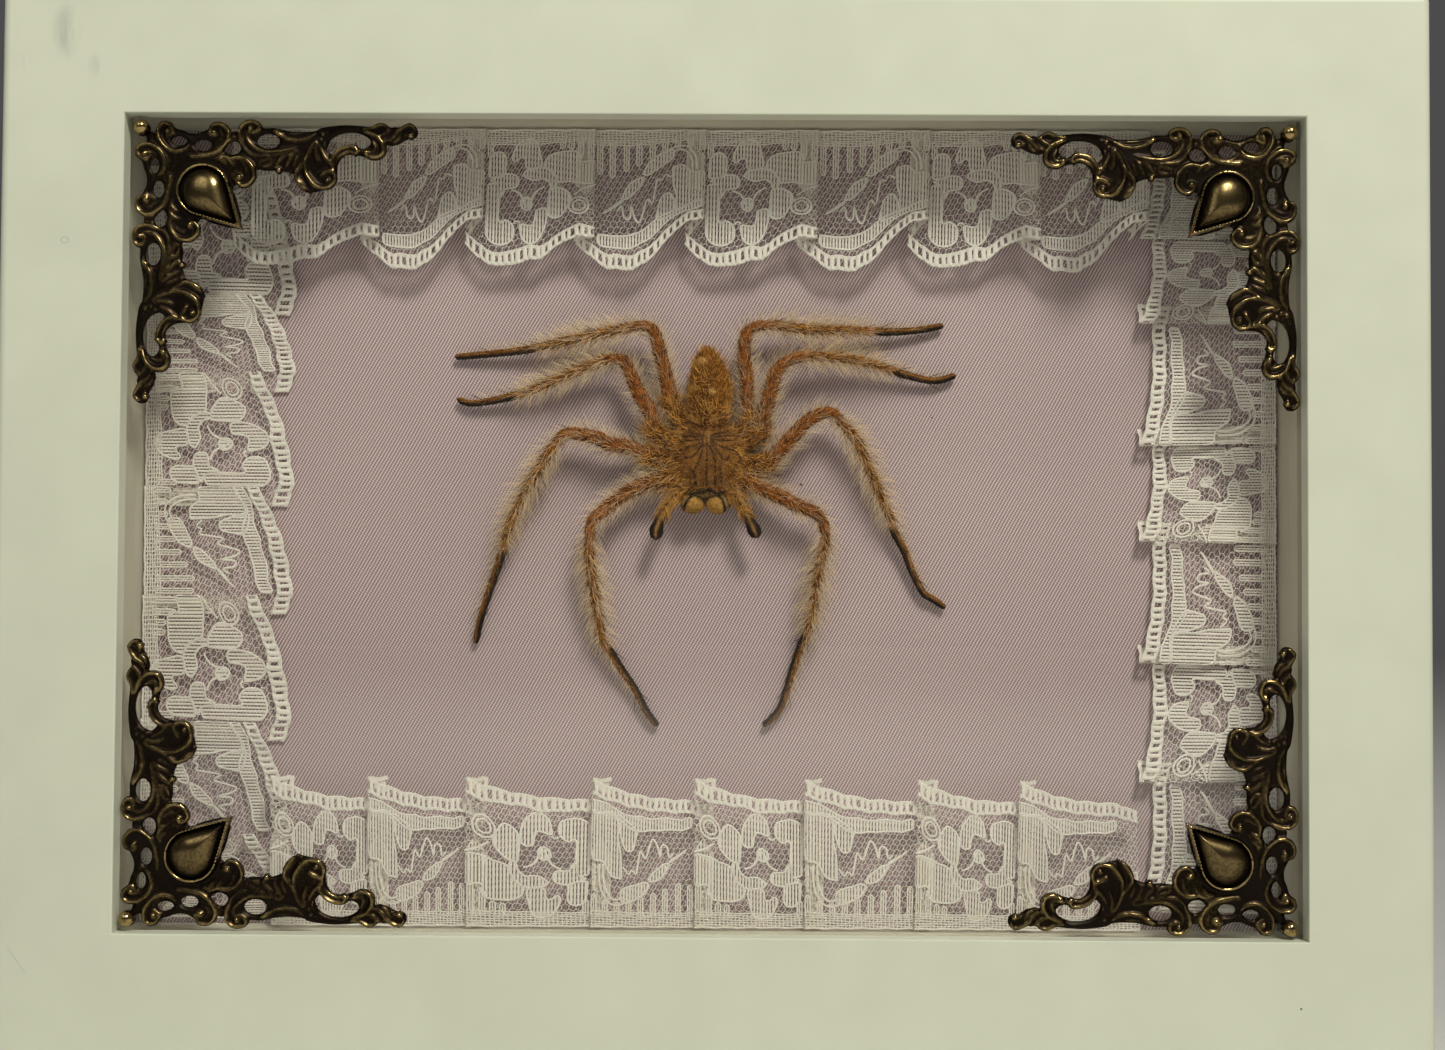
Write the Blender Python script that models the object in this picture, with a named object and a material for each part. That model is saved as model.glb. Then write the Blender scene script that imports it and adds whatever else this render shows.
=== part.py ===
"""Framed huntsman spider: a dried spider on satin, inside a white box frame.

The frame stands upright on its lower edge. +X is the viewer's right, +Z is up, and the
glazed front looks along -Y. The origin is at the bottom centre of the bounding box.
Lengths are written in millimetres and turned into metres by MM.
"""

import math

import bmesh
import bpy
from mathutils import Matrix, Vector

MM = 0.001
CLEARANCE = 0.3

# Driving sizes of the frame, in millimetres
FRAME_WIDTH = 208.4
FRAME_HEIGHT = 155.5
FRAME_DEPTH = 32.0
FACE_WIDTH = 18.2
SIGHT_HALF_WIDTH = FRAME_WIDTH / 2 - FACE_WIDTH
SIGHT_HALF_HEIGHT = FRAME_HEIGHT / 2 - FACE_WIDTH
LIP_DEPTH = 3.4
RABBET = 3.2
OUTER_EDGE_RADIUS = 1.4
SIGHT_EDGE_RADIUS = 0.3
REAR_EDGE_CHAMFER = 0.5
OUTER_CORNER_RADIUS = 1.2
ARC_STEPS = 3

# Places of the layers, as depths behind the front face
GLASS_FRONT = LIP_DEPTH + CLEARANCE
GLASS_THICKNESS = 2.0
LINER_FRONT = GLASS_FRONT + GLASS_THICKNESS + CLEARANCE
LINER_THICKNESS = 1.7
LINER_HALF_WIDTH = 86.5
LINER_HALF_HEIGHT = 60.6
LINER_OFFSET_X = -0.6
SATIN_FRONT = 17.9
SATIN_THICKNESS = 0.5
LINER_REAR = SATIN_FRONT - CLEARANCE
MOUNT_BOARD_FRONT = SATIN_FRONT + SATIN_THICKNESS + CLEARANCE
MOUNT_BOARD_THICKNESS = 2.0
BACKING_FRONT = MOUNT_BOARD_FRONT + MOUNT_BOARD_THICKNESS + CLEARANCE
BACKING_THICKNESS = 3.0
TAB_FRONT = BACKING_FRONT + BACKING_THICKNESS + CLEARANCE
TAB_THICKNESS = 0.5
RABBET_HALF_WIDTH = SIGHT_HALF_WIDTH + RABBET
RABBET_HALF_HEIGHT = SIGHT_HALF_HEIGHT + RABBET
SHEET_SLACK = 0.5

# Retaining tabs and hanger on the back
TAB_WIDTH = 6.0
TAB_LENGTH = 9.0
TAB_SIDE_SPACING = 60.0
HANGER_LENGTH = 44.0
HANGER_HEIGHT = 9.0
HANGER_THICKNESS = 0.8
HANGER_RISE = 2.2
HANGER_FOOT = 8.0
HANGER_Z = 40.0
HANGER_TEETH = 9

# Filigree corners, measured from the centre of the corner ball
ORNAMENT_THICKNESS = 1.1
ORNAMENT_REAR = GLASS_FRONT - CLEARANCE
BALL_RADIUS = 1.17
BALL_CENTRE_HEIGHT = 1.1
BALL_CUT_HEIGHT = 0.05
CABOCHON_CENTRE = 9.2
CABOCHON_RADIUS = 3.95
CABOCHON_TIP = 14.9
CABOCHON_RIM_HEIGHT = 1.7
CABOCHON_DOME_HEIGHT = 2.9
CABOCHON_DOME_SCALE = 0.78
CABOCHON_ARC_STEPS = 12

# Lace ruffles
LACE_THICKNESS = 0.6
LACE_LONG_DEPTH = 13.6
LACE_SIDE_DEPTH = 16.3
LACE_FOLD_RISE_AT_HEADING = 0.5
LACE_FOLD_RISE_AT_SCALLOPS = 1.8
LACE_FOLD_RETURN = 2.0

FRAME_CENTRE_Z = FRAME_HEIGHT / 2
FACE_Y = -FRAME_DEPTH / 2


def clear_scene():
    """Start from an empty scene."""
    for item in list(bpy.data.objects):
        bpy.data.objects.remove(item, do_unlink=True)


def make_material(name, colour, roughness, metallic=0.0, transmission=0.0):
    """A Principled material with the finish of one sub-part."""
    material = bpy.data.materials.new(name)
    material.use_nodes = True
    shader = material.node_tree.nodes["Principled BSDF"]
    shader.inputs["Base Color"].default_value = (*colour, 1.0)
    shader.inputs["Roughness"].default_value = roughness
    shader.inputs["Metallic"].default_value = metallic
    shader.inputs["Transmission Weight"].default_value = transmission
    material.diffuse_color = (*colour, 1.0)
    return material


def place(across, up, depth):
    """A point given from the centre of the window, as a vector in metres."""
    return Vector((across, FACE_Y + depth, FRAME_CENTRE_Z + up)) * MM


def finish_object(name, bm, material, smooth_angle=None):
    """Close a bmesh into a named object whose faces point outwards."""
    bmesh.ops.remove_doubles(bm, verts=bm.verts, dist=0.00001)
    bmesh.ops.recalc_face_normals(bm, faces=bm.faces)
    mesh = bpy.data.meshes.new(name)
    bm.to_mesh(mesh)
    bm.free()
    if smooth_angle is not None:
        mesh.shade_smooth()
        mesh.set_sharp_from_angle(angle=math.radians(smooth_angle))
    mesh.materials.append(material)
    item = bpy.data.objects.new(name, mesh)
    bpy.context.scene.collection.objects.link(item)
    return item


def bridge_rings(bm, rings, closed_path):
    """Join rings of equally many vertices, and cap the ends of an open path."""
    count = len(rings)
    for index in range(count if closed_path else count - 1):
        ring = rings[index]
        following = rings[(index + 1) % count]
        for side in range(len(ring)):
            after = (side + 1) % len(ring)
            bm.faces.new((ring[side], ring[after], following[after], following[side]))
    if not closed_path:
        bm.faces.new(rings[0])
        bm.faces.new(list(reversed(rings[-1])))


def slab(name, half_width, half_height, front, thickness, material, offset_x=0.0):
    """A flat rectangular sheet or board, centred behind the window."""
    bm = bmesh.new()
    bmesh.ops.create_cube(bm, size=1.0)
    size = Vector((2 * half_width, thickness, 2 * half_height)) * MM
    bmesh.ops.scale(bm, vec=size, verts=bm.verts)
    centre = place(offset_x, 0.0, front + thickness / 2)
    bmesh.ops.translate(bm, vec=centre, verts=bm.verts)
    return finish_object(name, bm, material)


def arc(centre, radius, start, end, steps):
    """Points on an arc, with angles in degrees."""
    points = []
    for step in range(steps + 1):
        angle = math.radians(start + (end - start) * step / steps)
        points.append((centre[0] + radius * math.cos(angle), centre[1] + radius * math.sin(angle)))
    return points


def rectangle_corners(outset, half_width, half_height, corner_radius, steps):
    """A rectangle grown by an outset, with rounded corners, as (across, up) points."""
    points = []
    for quadrant, (sign_x, sign_z) in enumerate(((1, 1), (-1, 1), (-1, -1), (1, -1))):
        centre_x = sign_x * (half_width + outset - corner_radius)
        centre_z = sign_z * (half_height + outset - corner_radius)
        start = 90.0 * quadrant
        points += arc((centre_x, centre_z), corner_radius, start, start + 90.0, steps)
    return points


def build_frame(material):
    """The white moulding: a face, side walls and a rebate, in one piece with no mitre lines."""
    outer = FACE_WIDTH
    profile = [(0.0, LIP_DEPTH)]
    profile += arc((SIGHT_EDGE_RADIUS, SIGHT_EDGE_RADIUS), SIGHT_EDGE_RADIUS, 180, 270, ARC_STEPS)
    edge_centre = (outer - OUTER_EDGE_RADIUS, OUTER_EDGE_RADIUS)
    profile += arc(edge_centre, OUTER_EDGE_RADIUS, 270, 360, ARC_STEPS)
    profile.append((outer, FRAME_DEPTH - REAR_EDGE_CHAMFER))
    profile.append((outer - REAR_EDGE_CHAMFER, FRAME_DEPTH))
    profile.append((RABBET, FRAME_DEPTH))
    profile.append((RABBET, LIP_DEPTH))
    loops = []
    bm = bmesh.new()
    for outset, depth in profile:
        radius = max(0.0, outset - (FACE_WIDTH - OUTER_CORNER_RADIUS))
        outline = rectangle_corners(outset, SIGHT_HALF_WIDTH, SIGHT_HALF_HEIGHT, radius, ARC_STEPS)
        loops.append([bm.verts.new(place(x, z, depth)) for x, z in outline])
    bridge_rings(bm, loops, closed_path=True)
    bmesh.ops.dissolve_degenerate(bm, dist=0.000002, edges=bm.edges)
    return finish_object("frame", bm, material, smooth_angle=35)


def build_liner(material):
    """The thin inner wall that keeps the glass and the satin apart."""
    bm = bmesh.new()
    loops = []
    corners = ((1, 1), (-1, 1), (-1, -1), (1, -1))
    for grown, depth in (
        (0.0, LINER_FRONT),
        (LINER_THICKNESS, LINER_FRONT),
        (LINER_THICKNESS, LINER_REAR),
        (0.0, LINER_REAR),
    ):
        half_width = LINER_HALF_WIDTH + grown
        half_height = LINER_HALF_HEIGHT + grown
        loop = []
        for sign_x, sign_z in corners:
            spot = place(LINER_OFFSET_X + sign_x * half_width, sign_z * half_height, depth)
            loop.append(bm.verts.new(spot))
        loops.append(loop)
    bridge_rings(bm, loops, closed_path=True)
    return finish_object("spacer", bm, material)


def build_tabs(material):
    """Flat metal points that hold the backing board in the rebate."""
    reach_x = RABBET_HALF_WIDTH - CLEARANCE - TAB_LENGTH / 2
    reach_z = RABBET_HALF_HEIGHT - CLEARANCE - TAB_LENGTH / 2
    half_spacing = TAB_SIDE_SPACING / 2
    spots = [
        (-half_spacing, reach_z, True),
        (half_spacing, reach_z, True),
        (-half_spacing, -reach_z, True),
        (half_spacing, -reach_z, True),
        (-reach_x, 0.0, False),
        (reach_x, 0.0, False),
    ]
    for number, (across, up, upright) in enumerate(spots, start=1):
        bm = bmesh.new()
        bmesh.ops.create_cube(bm, size=1.0)
        long_side = TAB_LENGTH if upright else TAB_WIDTH
        short_side = TAB_WIDTH if upright else TAB_LENGTH
        size = Vector((short_side, TAB_THICKNESS, long_side)) * MM
        bmesh.ops.scale(bm, vec=size, verts=bm.verts)
        centre = place(across, up, TAB_FRONT + TAB_THICKNESS / 2)
        bmesh.ops.translate(bm, vec=centre, verts=bm.verts)
        finish_object(f"tab_{number}", bm, material)


def build_hanger(material):
    """A bridged strip with a toothed lower edge, fixed to the backing board."""
    half = HANGER_LENGTH / 2
    bridge_half = half - HANGER_FOOT
    tooth_pitch = 2 * bridge_half / HANGER_TEETH
    lower = [(-half, 0.0), (-bridge_half, 0.0)]
    for tooth in range(HANGER_TEETH):
        start = -bridge_half + tooth * tooth_pitch
        lower.append((start + tooth_pitch / 2, 1.4))
        lower.append((start + tooth_pitch, 0.0))
    lower.append((half, 0.0))
    bm = bmesh.new()
    rings = []
    for across, bite in lower:
        on_bridge = abs(across) < bridge_half - 0.01
        depth = TAB_FRONT + (HANGER_RISE if on_bridge else 0.0)
        low = HANGER_Z + bite
        high = HANGER_Z + HANGER_HEIGHT
        corners = (
            (low, depth),
            (high, depth),
            (high, depth + HANGER_THICKNESS),
            (low, depth + HANGER_THICKNESS),
        )
        rings.append([bm.verts.new(place(across, up, back)) for up, back in corners])
    bridge_rings(bm, rings, closed_path=False)
    return finish_object("hanger", bm, material)


# Half of the filigree's outer edge, in millimetres along and across one arm. It starts
# under the corner ball, runs out to the arm's tip and comes back to the cabochon.
ARM_EDGE = [
    (0.4, 0.1), (2.0, 0.7), (2.3, -0.4), (3.1, -1.0), (4.1, -1.0), (4.8, -0.1), (6.0, 0.3),
    (7.0, 0.7), (8.3, 0.7), (9.6, 0.1), (10.2, -0.6), (11.2, -0.8), (12.4, -0.4),
    (13.0, 0.6), (14.0, 0.7), (14.7, 0.0), (15.2, -0.7), (16.0, -1.0), (17.1, -0.6),
    (17.8, -0.1), (19.5, -0.3), (22.2, 0.6), (24.8, 0.4), (27.0, 0.0), (29.0, -0.3),
    (33.2, -0.3), (35.4, -0.9), (37.0, -0.1), (38.8, -0.7), (39.9, -0.6), (40.7, 0.1),
    (40.4, 1.2), (39.1, 1.5), (37.5, 2.3), (35.9, 2.0), (35.9, 3.5), (34.8, 4.4),
    (33.4, 4.4), (31.8, 4.1), (30.0, 4.1), (28.9, 5.2), (28.9, 7.3), (28.1, 8.7),
    (26.2, 9.3), (24.5, 9.6), (23.2, 8.7), (22.3, 6.9), (20.6, 6.3), (18.2, 6.4),
    (16.9, 6.3), (16.5, 7.9), (15.0, 8.7), (13.9, 8.3), (13.4, 9.0), (14.0, 10.5),
    (14.7, 13.1),
]
ARM_CORNER = (15.0, 15.0)
# Oval openings in one arm: centre along, centre across, half length, half width
ARM_OVALS = [
    (5.6, 1.8, 1.3, 0.8), (9.0, 2.3, 1.5, 1.0), (13.3, 2.9, 1.3, 1.0), (18.2, 1.7, 1.9, 1.1),
]
OVAL_POINTS = 8
ARM_CRESCENT = [
    (26.8, 2.9), (27.6, 1.5), (29.0, 0.6), (30.9, 0.4), (32.8, 0.9), (33.5, 1.9),
    (33.1, 2.6), (31.8, 2.3), (30.3, 2.2), (28.9, 2.5), (27.7, 3.2),
]


def mirrored(points):
    """The same outline on the other arm, run the other way round."""
    return [(across, along) for along, across in reversed(points)]


def ornament_openings():
    """The outlines of all openings in one filigree corner."""
    openings = []
    for along, across, half_length, half_width in ARM_OVALS:
        oval = []
        for step in range(OVAL_POINTS):
            angle = 2 * math.pi * step / OVAL_POINTS
            point_along = along + half_length * math.cos(angle)
            point_across = across + half_width * math.sin(angle)
            oval.append((point_along, point_across))
        openings.append(oval)
    openings.append(ARM_CRESCENT)
    openings += [mirrored(opening) for opening in openings]
    return openings


def teardrop(scale):
    """The cabochon's outline about its round end, with its point on the diagonal."""
    radius = CABOCHON_RADIUS
    reach = (CABOCHON_TIP - CABOCHON_CENTRE) * math.sqrt(2)
    opening = math.degrees(math.acos(radius / reach))
    points = [(reach, 0.0)]
    points += arc((0.0, 0.0), radius, opening, 360 - opening, CABOCHON_ARC_STEPS)
    middle = (reach - radius) * 0.3
    outline = []
    for x, z in points:
        x = middle + (x - middle) * scale
        z = z * scale
        turned_x = (x + z) / math.sqrt(2)
        turned_z = (x - z) / math.sqrt(2)
        outline.append((CABOCHON_CENTRE + turned_x, CABOCHON_CENTRE + turned_z))
    return outline


def ornament_ring(bm, outline, height):
    """Vertices of an outline of the filigree corner at a height above its rear."""
    return [bm.verts.new(Vector((x, -height, -z)) * MM) for x, z in outline]


def build_ornament_mesh(material):
    """A flat pierced plate, a domed teardrop in a rim and a ball, fused into one piece."""
    bm = bmesh.new()
    outlines = [ARM_EDGE + [ARM_CORNER] + mirrored(ARM_EDGE)] + ornament_openings()
    edges = []
    for outline in outlines:
        ring = ornament_ring(bm, outline, 0.0)
        for index, vertex in enumerate(ring):
            edges.append(bm.edges.new((vertex, ring[(index + 1) % len(ring)])))
    bmesh.ops.triangle_fill(bm, edges=edges, use_beauty=True, use_dissolve=False)
    grown = bmesh.ops.extrude_face_region(bm, geom=list(bm.faces))
    lifted = [item for item in grown["geom"] if isinstance(item, bmesh.types.BMVert)]
    bmesh.ops.translate(bm, vec=Vector((0.0, -ORNAMENT_THICKNESS, 0.0)) * MM, verts=lifted)
    plate = finish_object("ornament_plate", bm, material)

    bm = bmesh.new()
    rim = CABOCHON_RIM_HEIGHT
    rise = CABOCHON_DOME_HEIGHT - rim
    rings = [
        ornament_ring(bm, teardrop(1.0), 0.1),
        ornament_ring(bm, teardrop(1.0), rim - 0.3),
        ornament_ring(bm, teardrop(0.94), rim),
        ornament_ring(bm, teardrop(0.86), rim),
        ornament_ring(bm, teardrop(CABOCHON_DOME_SCALE), rim - 0.2),
    ]
    for portion in (0.62, 0.4, 0.15):
        height = rim + rise * math.sqrt(1 - (portion / CABOCHON_DOME_SCALE) ** 2)
        rings.append(ornament_ring(bm, teardrop(portion), height))
    bridge_rings(bm, rings, closed_path=False)
    dome = finish_object("ornament_dome", bm, material)

    bm = bmesh.new()
    bmesh.ops.create_uvsphere(bm, u_segments=8, v_segments=6, radius=BALL_RADIUS * MM)
    bmesh.ops.translate(bm, vec=Vector((0.0, -BALL_CENTRE_HEIGHT, 0.0)) * MM, verts=bm.verts)
    floor = bmesh.ops.bisect_plane(
        bm,
        geom=list(bm.verts) + list(bm.edges) + list(bm.faces),
        plane_co=(0.0, -BALL_CUT_HEIGHT * MM, 0.0),
        plane_no=(0.0, 1.0, 0.0),
        clear_outer=True,
    )
    rim_edges = [item for item in floor["geom_cut"] if isinstance(item, bmesh.types.BMEdge)]
    bmesh.ops.edgenet_fill(bm, edges=rim_edges)
    ball = finish_object("ornament_ball", bm, material)
    return fused_mesh("corner_ornament", plate, [dome, ball])


def fused_mesh(name, base, others):
    """Join closed solids into one body, and clear away what it was made from."""
    for other in others:
        joiner = base.modifiers.new("fuse_" + other.name, "BOOLEAN")
        joiner.operation = "UNION"
        joiner.solver = "EXACT"
        joiner.object = other
    bpy.context.view_layer.update()
    evaluated = base.evaluated_get(bpy.context.evaluated_depsgraph_get())
    mesh = bpy.data.meshes.new_from_object(evaluated)
    mesh.name = name
    for item in [base] + others:
        bpy.data.objects.remove(item, do_unlink=True)
    return mesh


# Each filigree corner: ball centre across and up from the window's centre, and its turn
ORNAMENT_PLACES = {
    "corner_top_left": (-84.2, 57.9, 0.0),
    "corner_top_right": (84.2, 57.6, 89.0),
    "corner_bottom_right": (83.9, -58.0, 180.4),
    "corner_bottom_left": (-84.6, -57.8, 270.3),
}


def build_ornaments(material):
    """Four equal filigree corners on the glass, each turned into its own corner."""
    mesh = build_ornament_mesh(material)
    for name, (across, up, turn) in ORNAMENT_PLACES.items():
        item = bpy.data.objects.new(name, mesh)
        item.location = place(across, up, ORNAMENT_REAR)
        item.rotation_euler = (0.0, math.radians(turn), 0.0)
        bpy.context.scene.collection.objects.link(item)


# Lace strips: where the heading lies, which way the scallops point, the side on which each
# pleat's fold stands up, and the places of the folds along the strip. Reach is how far the
# scallops stand from the heading, beside the raised fold and at the tucked end of a pleat.
LACE_STRIPS = {
    "lace_top": {
        "heading": 60.2, "inward": -1, "across": False, "depth": LACE_LONG_DEPTH,
        "raised_end": 1, "reach_raised": 16.5, "reach_tucked": 22.8,
        "folds": (-70.6, -51.0, -34.6, -18.0, -1.2, 15.9, 32.8, 49.0, 66.0),
    },
    "lace_bottom": {
        "heading": -60.2, "inward": 1, "across": False, "depth": LACE_LONG_DEPTH,
        "raised_end": -1, "reach_raised": 22.6, "reach_tucked": 18.0,
        "folds": (-66.0, -51.3, -36.8, -18.1, -2.5, 14.0, 30.4, 45.6, 61.3),
    },
    "lace_left": {
        "heading": -86.7, "inward": 1, "across": True, "depth": LACE_SIDE_DEPTH,
        "raised_end": 1, "reach_raised": 17.5, "reach_tucked": 22.8,
        "folds": (-60.0, -47.0, -29.6, -10.8, 5.8, 23.0, 35.5, 55.0),
    },
    "lace_right": {
        "heading": 85.4, "inward": -1, "across": True, "depth": LACE_SIDE_DEPTH,
        "raised_end": -1, "reach_raised": 20.8, "reach_tucked": 18.6,
        "folds": (-58.0, -38.0, -20.8, -2.2, 13.0, 31.0, 44.0, 58.0),
    },
}


def lace_sections(strip):
    """Stations along a strip: place along it, fold rise as a share, and scallop reach."""
    folds = strip["folds"]
    raised_at_end = strip["raised_end"] > 0
    stations = []
    for start, end in zip(folds[:-1], folds[1:]):
        tucked = (0.0, strip["reach_tucked"])
        raised = (1.0, strip["reach_raised"])
        first, last = (tucked, raised) if raised_at_end else (raised, tucked)
        inset = LACE_FOLD_RETURN / 2
        stations.append((start + inset, *first))
        stations.append((end - inset, *last))
    return stations


def build_lace(material):
    """Knife-pleated ruffles as thin closed sheets, one along each side of the window."""
    for name, strip in LACE_STRIPS.items():
        bm = bmesh.new()
        rings = []
        for along, raised, reach in lace_sections(strip):
            ring = []
            for distance, rise, side in (
                (0.0, LACE_FOLD_RISE_AT_HEADING, 1),
                (reach, LACE_FOLD_RISE_AT_SCALLOPS, 1),
                (reach, LACE_FOLD_RISE_AT_SCALLOPS, -1),
                (0.0, LACE_FOLD_RISE_AT_HEADING, -1),
            ):
                crosswise = strip["heading"] + strip["inward"] * distance
                depth = strip["depth"] - rise * (raised - 0.5) + side * LACE_THICKNESS / 2
                if strip["across"]:
                    spot = place(crosswise, along, depth)
                else:
                    spot = place(along, crosswise, depth)
                ring.append(bm.verts.new(spot))
            rings.append(ring)
        bridge_rings(bm, rings, closed_path=False)
        finish_object(name, bm, material)


# The spider lies head down. Points are across and up from the window's centre, with the
# height of the limb's middle above the satin. The first joint of each limb is at the body.
BODY_CENTRE = (-0.8, 10.4)
LIMBS = {
    "leg_4_left": [
        (-6.3, 18.4, 3.0), (-8.1, 26.0, 4.1), (-9.1, 29.5, 4.4), (-10.9, 30.3, 4.3),
        (-15.2, 29.6, 3.7), (-24.1, 27.8, 2.5), (-29.9, 26.7, 1.8), (-39.6, 25.8, 1.0),
    ],
    "leg_3_left": [
        (-9.0, 15.6, 3.1), (-11.3, 20.2, 4.0), (-13.1, 24.3, 4.3), (-14.3, 25.2, 4.3),
        (-20.2, 23.7, 3.4), (-27.9, 20.6, 2.3), (-31.7, 19.5, 1.8), (-36.8, 18.7, 1.2),
        (-39.2, 19.4, 1.0),
    ],
    "leg_2_left": [
        (-9.0, 10.5, 3.0), (-15.8, 12.4, 4.1), (-21.7, 14.0, 4.2), (-23.2, 13.2, 4.0),
        (-28.1, 5.9, 3.1), (-31.7, -2.5, 2.1), (-34.4, -11.3, 1.4), (-36.0, -17.9, 1.0),
    ],
    "leg_1_left": [
        (-7.3, 7.3, 3.0), (-13.5, 4.7, 3.9), (-18.1, 0.6, 4.3), (-18.7, -1.6, 4.2),
        (-18.4, -6.2, 3.6), (-17.2, -14.2, 2.6), (-16.3, -18.0, 2.1), (-11.8, -24.6, 1.4),
        (-8.2, -30.3, 1.0),
    ],
    "leg_4_right": [
        (5.4, 17.6, 3.1), (4.6, 26.2, 4.1), (5.2, 29.4, 4.4), (7.2, 30.5, 4.3),
        (15.3, 30.0, 3.1), (26.0, 29.9, 1.9), (31.0, 30.2, 1.3), (35.0, 31.0, 1.0),
    ],
    "leg_3_right": [
        (7.2, 15.3, 3.1), (9.4, 23.2, 4.2), (11.0, 25.0, 4.4), (13.4, 25.8, 4.2),
        (19.4, 25.7, 3.3), (27.0, 24.1, 2.1), (33.6, 22.5, 1.2), (36.9, 23.4, 1.0),
    ],
    "leg_2_right": [
        (7.4, 9.3, 3.0), (14.3, 16.0, 4.2), (17.3, 17.4, 4.3), (19.1, 16.1, 4.1),
        (23.7, 8.7, 3.0), (27.2, 0.6, 2.1), (30.4, -6.8, 1.4), (32.6, -10.5, 1.2),
        (35.4, -12.1, 1.0),
    ],
    "leg_1_right": [
        (4.9, 6.9, 3.0), (12.8, 3.2, 4.2), (16.0, 1.6, 4.2), (17.0, -0.9, 4.0),
        (15.9, -7.4, 3.1), (14.4, -15.8, 2.1), (12.3, -21.5, 1.6), (10.2, -27.7, 1.2),
        (7.8, -30.2, 1.0),
    ],
    "palp_left": [(-5.4, 4.8, 4.0), (-7.6, 1.7, 4.8), (-8.4, -0.5, 5.1), (-8.4, -2.2, 5.2)],
    "palp_right": [(3.4, 4.6, 4.0), (5.0, 1.8, 4.8), (5.9, -0.1, 5.1), (6.8, -1.6, 5.2)],
}
# Half width and half thickness along a limb with its fringe of hair, by share of its length
LEG_GIRTH = [
    (0.0, 1.5, 1.3), (0.12, 1.3, 1.15), (0.28, 1.15, 1.0), (0.36, 1.2, 1.0),
    (0.5, 1.6, 1.0), (0.65, 1.35, 0.9), (0.74, 0.8, 0.7), (0.85, 0.8, 0.6), (1.0, 0.4, 0.4),
]
PALP_GIRTH = [(0.0, 1.1, 1.0), (0.4, 0.9, 0.8), (0.75, 1.0, 0.9), (1.0, 0.5, 0.5)]
LIMB_SIDES = 6
LIMB_ROOT_SHARE = 0.65
LEG_STATIONS = 14
PALP_STATIONS = 6

# Body sections from the tail to the jaws: up, half width, half thickness, height, across
ABDOMEN = [
    (27.3, 0.4, 0.4, 4.4, -1.1), (26.4, 1.3, 1.2, 4.4, -1.1), (24.6, 2.7, 2.3, 4.3, -1.1),
    (22.4, 3.7, 2.9, 4.2, -1.1), (19.6, 3.9, 3.0, 4.1, -1.1), (17.2, 3.2, 2.6, 4.0, -1.0),
    (15.4, 1.7, 1.6, 3.9, -0.9), (14.6, 0.8, 0.8, 3.8, -0.8),
]
CARAPACE = [
    (15.7, 1.2, 0.9, 3.6, -0.8), (14.8, 3.2, 1.7, 3.7, -0.8), (12.8, 4.8, 2.3, 3.9, -0.8),
    (10.4, 5.2, 2.6, 4.0, -0.8), (8.0, 4.9, 2.6, 4.1, -0.8), (6.0, 3.9, 2.3, 4.2, -0.8),
    (5.0, 3.0, 1.8, 4.1, -0.8), (4.5, 2.0, 1.0, 4.0, -0.8),
]
BODY_SIDES = 14
JAW_CENTRES = ((-2.3, 3.6), (0.7, 3.6))
JAW_RADII = (1.3, 1.7, 1.7)
JAW_HEIGHT = 3.7


def spline_point(points, share):
    """A point at a share of the way along a smooth curve through the given points."""
    position = share * (len(points) - 1)
    index = min(int(position), len(points) - 2)
    t = position - index
    before = points[max(index - 1, 0)]
    start = points[index]
    end = points[index + 1]
    after = points[min(index + 2, len(points) - 1)]
    straight = 2 * start + (end - before) * t
    bend = (2 * before - 5 * start + 4 * end - after) * t * t
    twist = (3 * start - before - 3 * end + after) * t * t * t
    return (straight + bend + twist) / 2


def girth_at(girths, share):
    """Half width and half thickness at a share of a limb's length."""
    for (start, width_a, thick_a), (end, width_b, thick_b) in zip(girths[:-1], girths[1:]):
        if share <= end:
            mix = (share - start) / (end - start)
            return width_a + (width_b - width_a) * mix, thick_a + (thick_b - thick_a) * mix
    return girths[-1][1], girths[-1][2]


def build_limb(name, joints, girths, stations, material):
    """One leg or palp as a tapering tube of oval section, rooted inside the body."""
    start = joints[0]
    root_x = start[0] + (BODY_CENTRE[0] - start[0]) * LIMB_ROOT_SHARE
    root_z = start[1] + (BODY_CENTRE[1] - start[1]) * LIMB_ROOT_SHARE
    route = [place(root_x, root_z, SATIN_FRONT - start[2])]
    route += [place(x, z, SATIN_FRONT - height) for x, z, height in joints]
    out_of_plane = Vector((0.0, -1.0, 0.0))
    bm = bmesh.new()
    rings = []
    for station in range(stations):
        share = station / (stations - 1)
        centre = spline_point(route, share)
        ahead = spline_point(route, min(share + 0.01, 1.0))
        behind = spline_point(route, max(share - 0.01, 0.0))
        tangent = (ahead - behind).normalized()
        sideways = tangent.cross(out_of_plane).normalized()
        upwards = sideways.cross(tangent).normalized()
        half_width, half_thickness = girth_at(girths, share)
        ring = []
        for side in range(LIMB_SIDES):
            angle = 2 * math.pi * side / LIMB_SIDES
            offset = sideways * half_width * math.cos(angle)
            offset += upwards * half_thickness * math.sin(angle)
            ring.append(bm.verts.new(centre + offset * MM))
        rings.append(ring)
    bridge_rings(bm, rings, closed_path=False)
    return finish_object(name, bm, material)


def build_body_lump(name, sections, material):
    """A rounded body part, lofted through oval sections from top to bottom."""
    bm = bmesh.new()
    rings = []
    for up, half_width, half_thickness, height, across in sections:
        ring = []
        for side in range(BODY_SIDES):
            angle = 2 * math.pi * side / BODY_SIDES
            x = across + half_width * math.cos(angle)
            lift = height + half_thickness * math.sin(angle)
            ring.append(bm.verts.new(place(x, up, SATIN_FRONT - lift)))
        rings.append(ring)
    bridge_rings(bm, rings, closed_path=False)
    return finish_object(name, bm, material)


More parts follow.
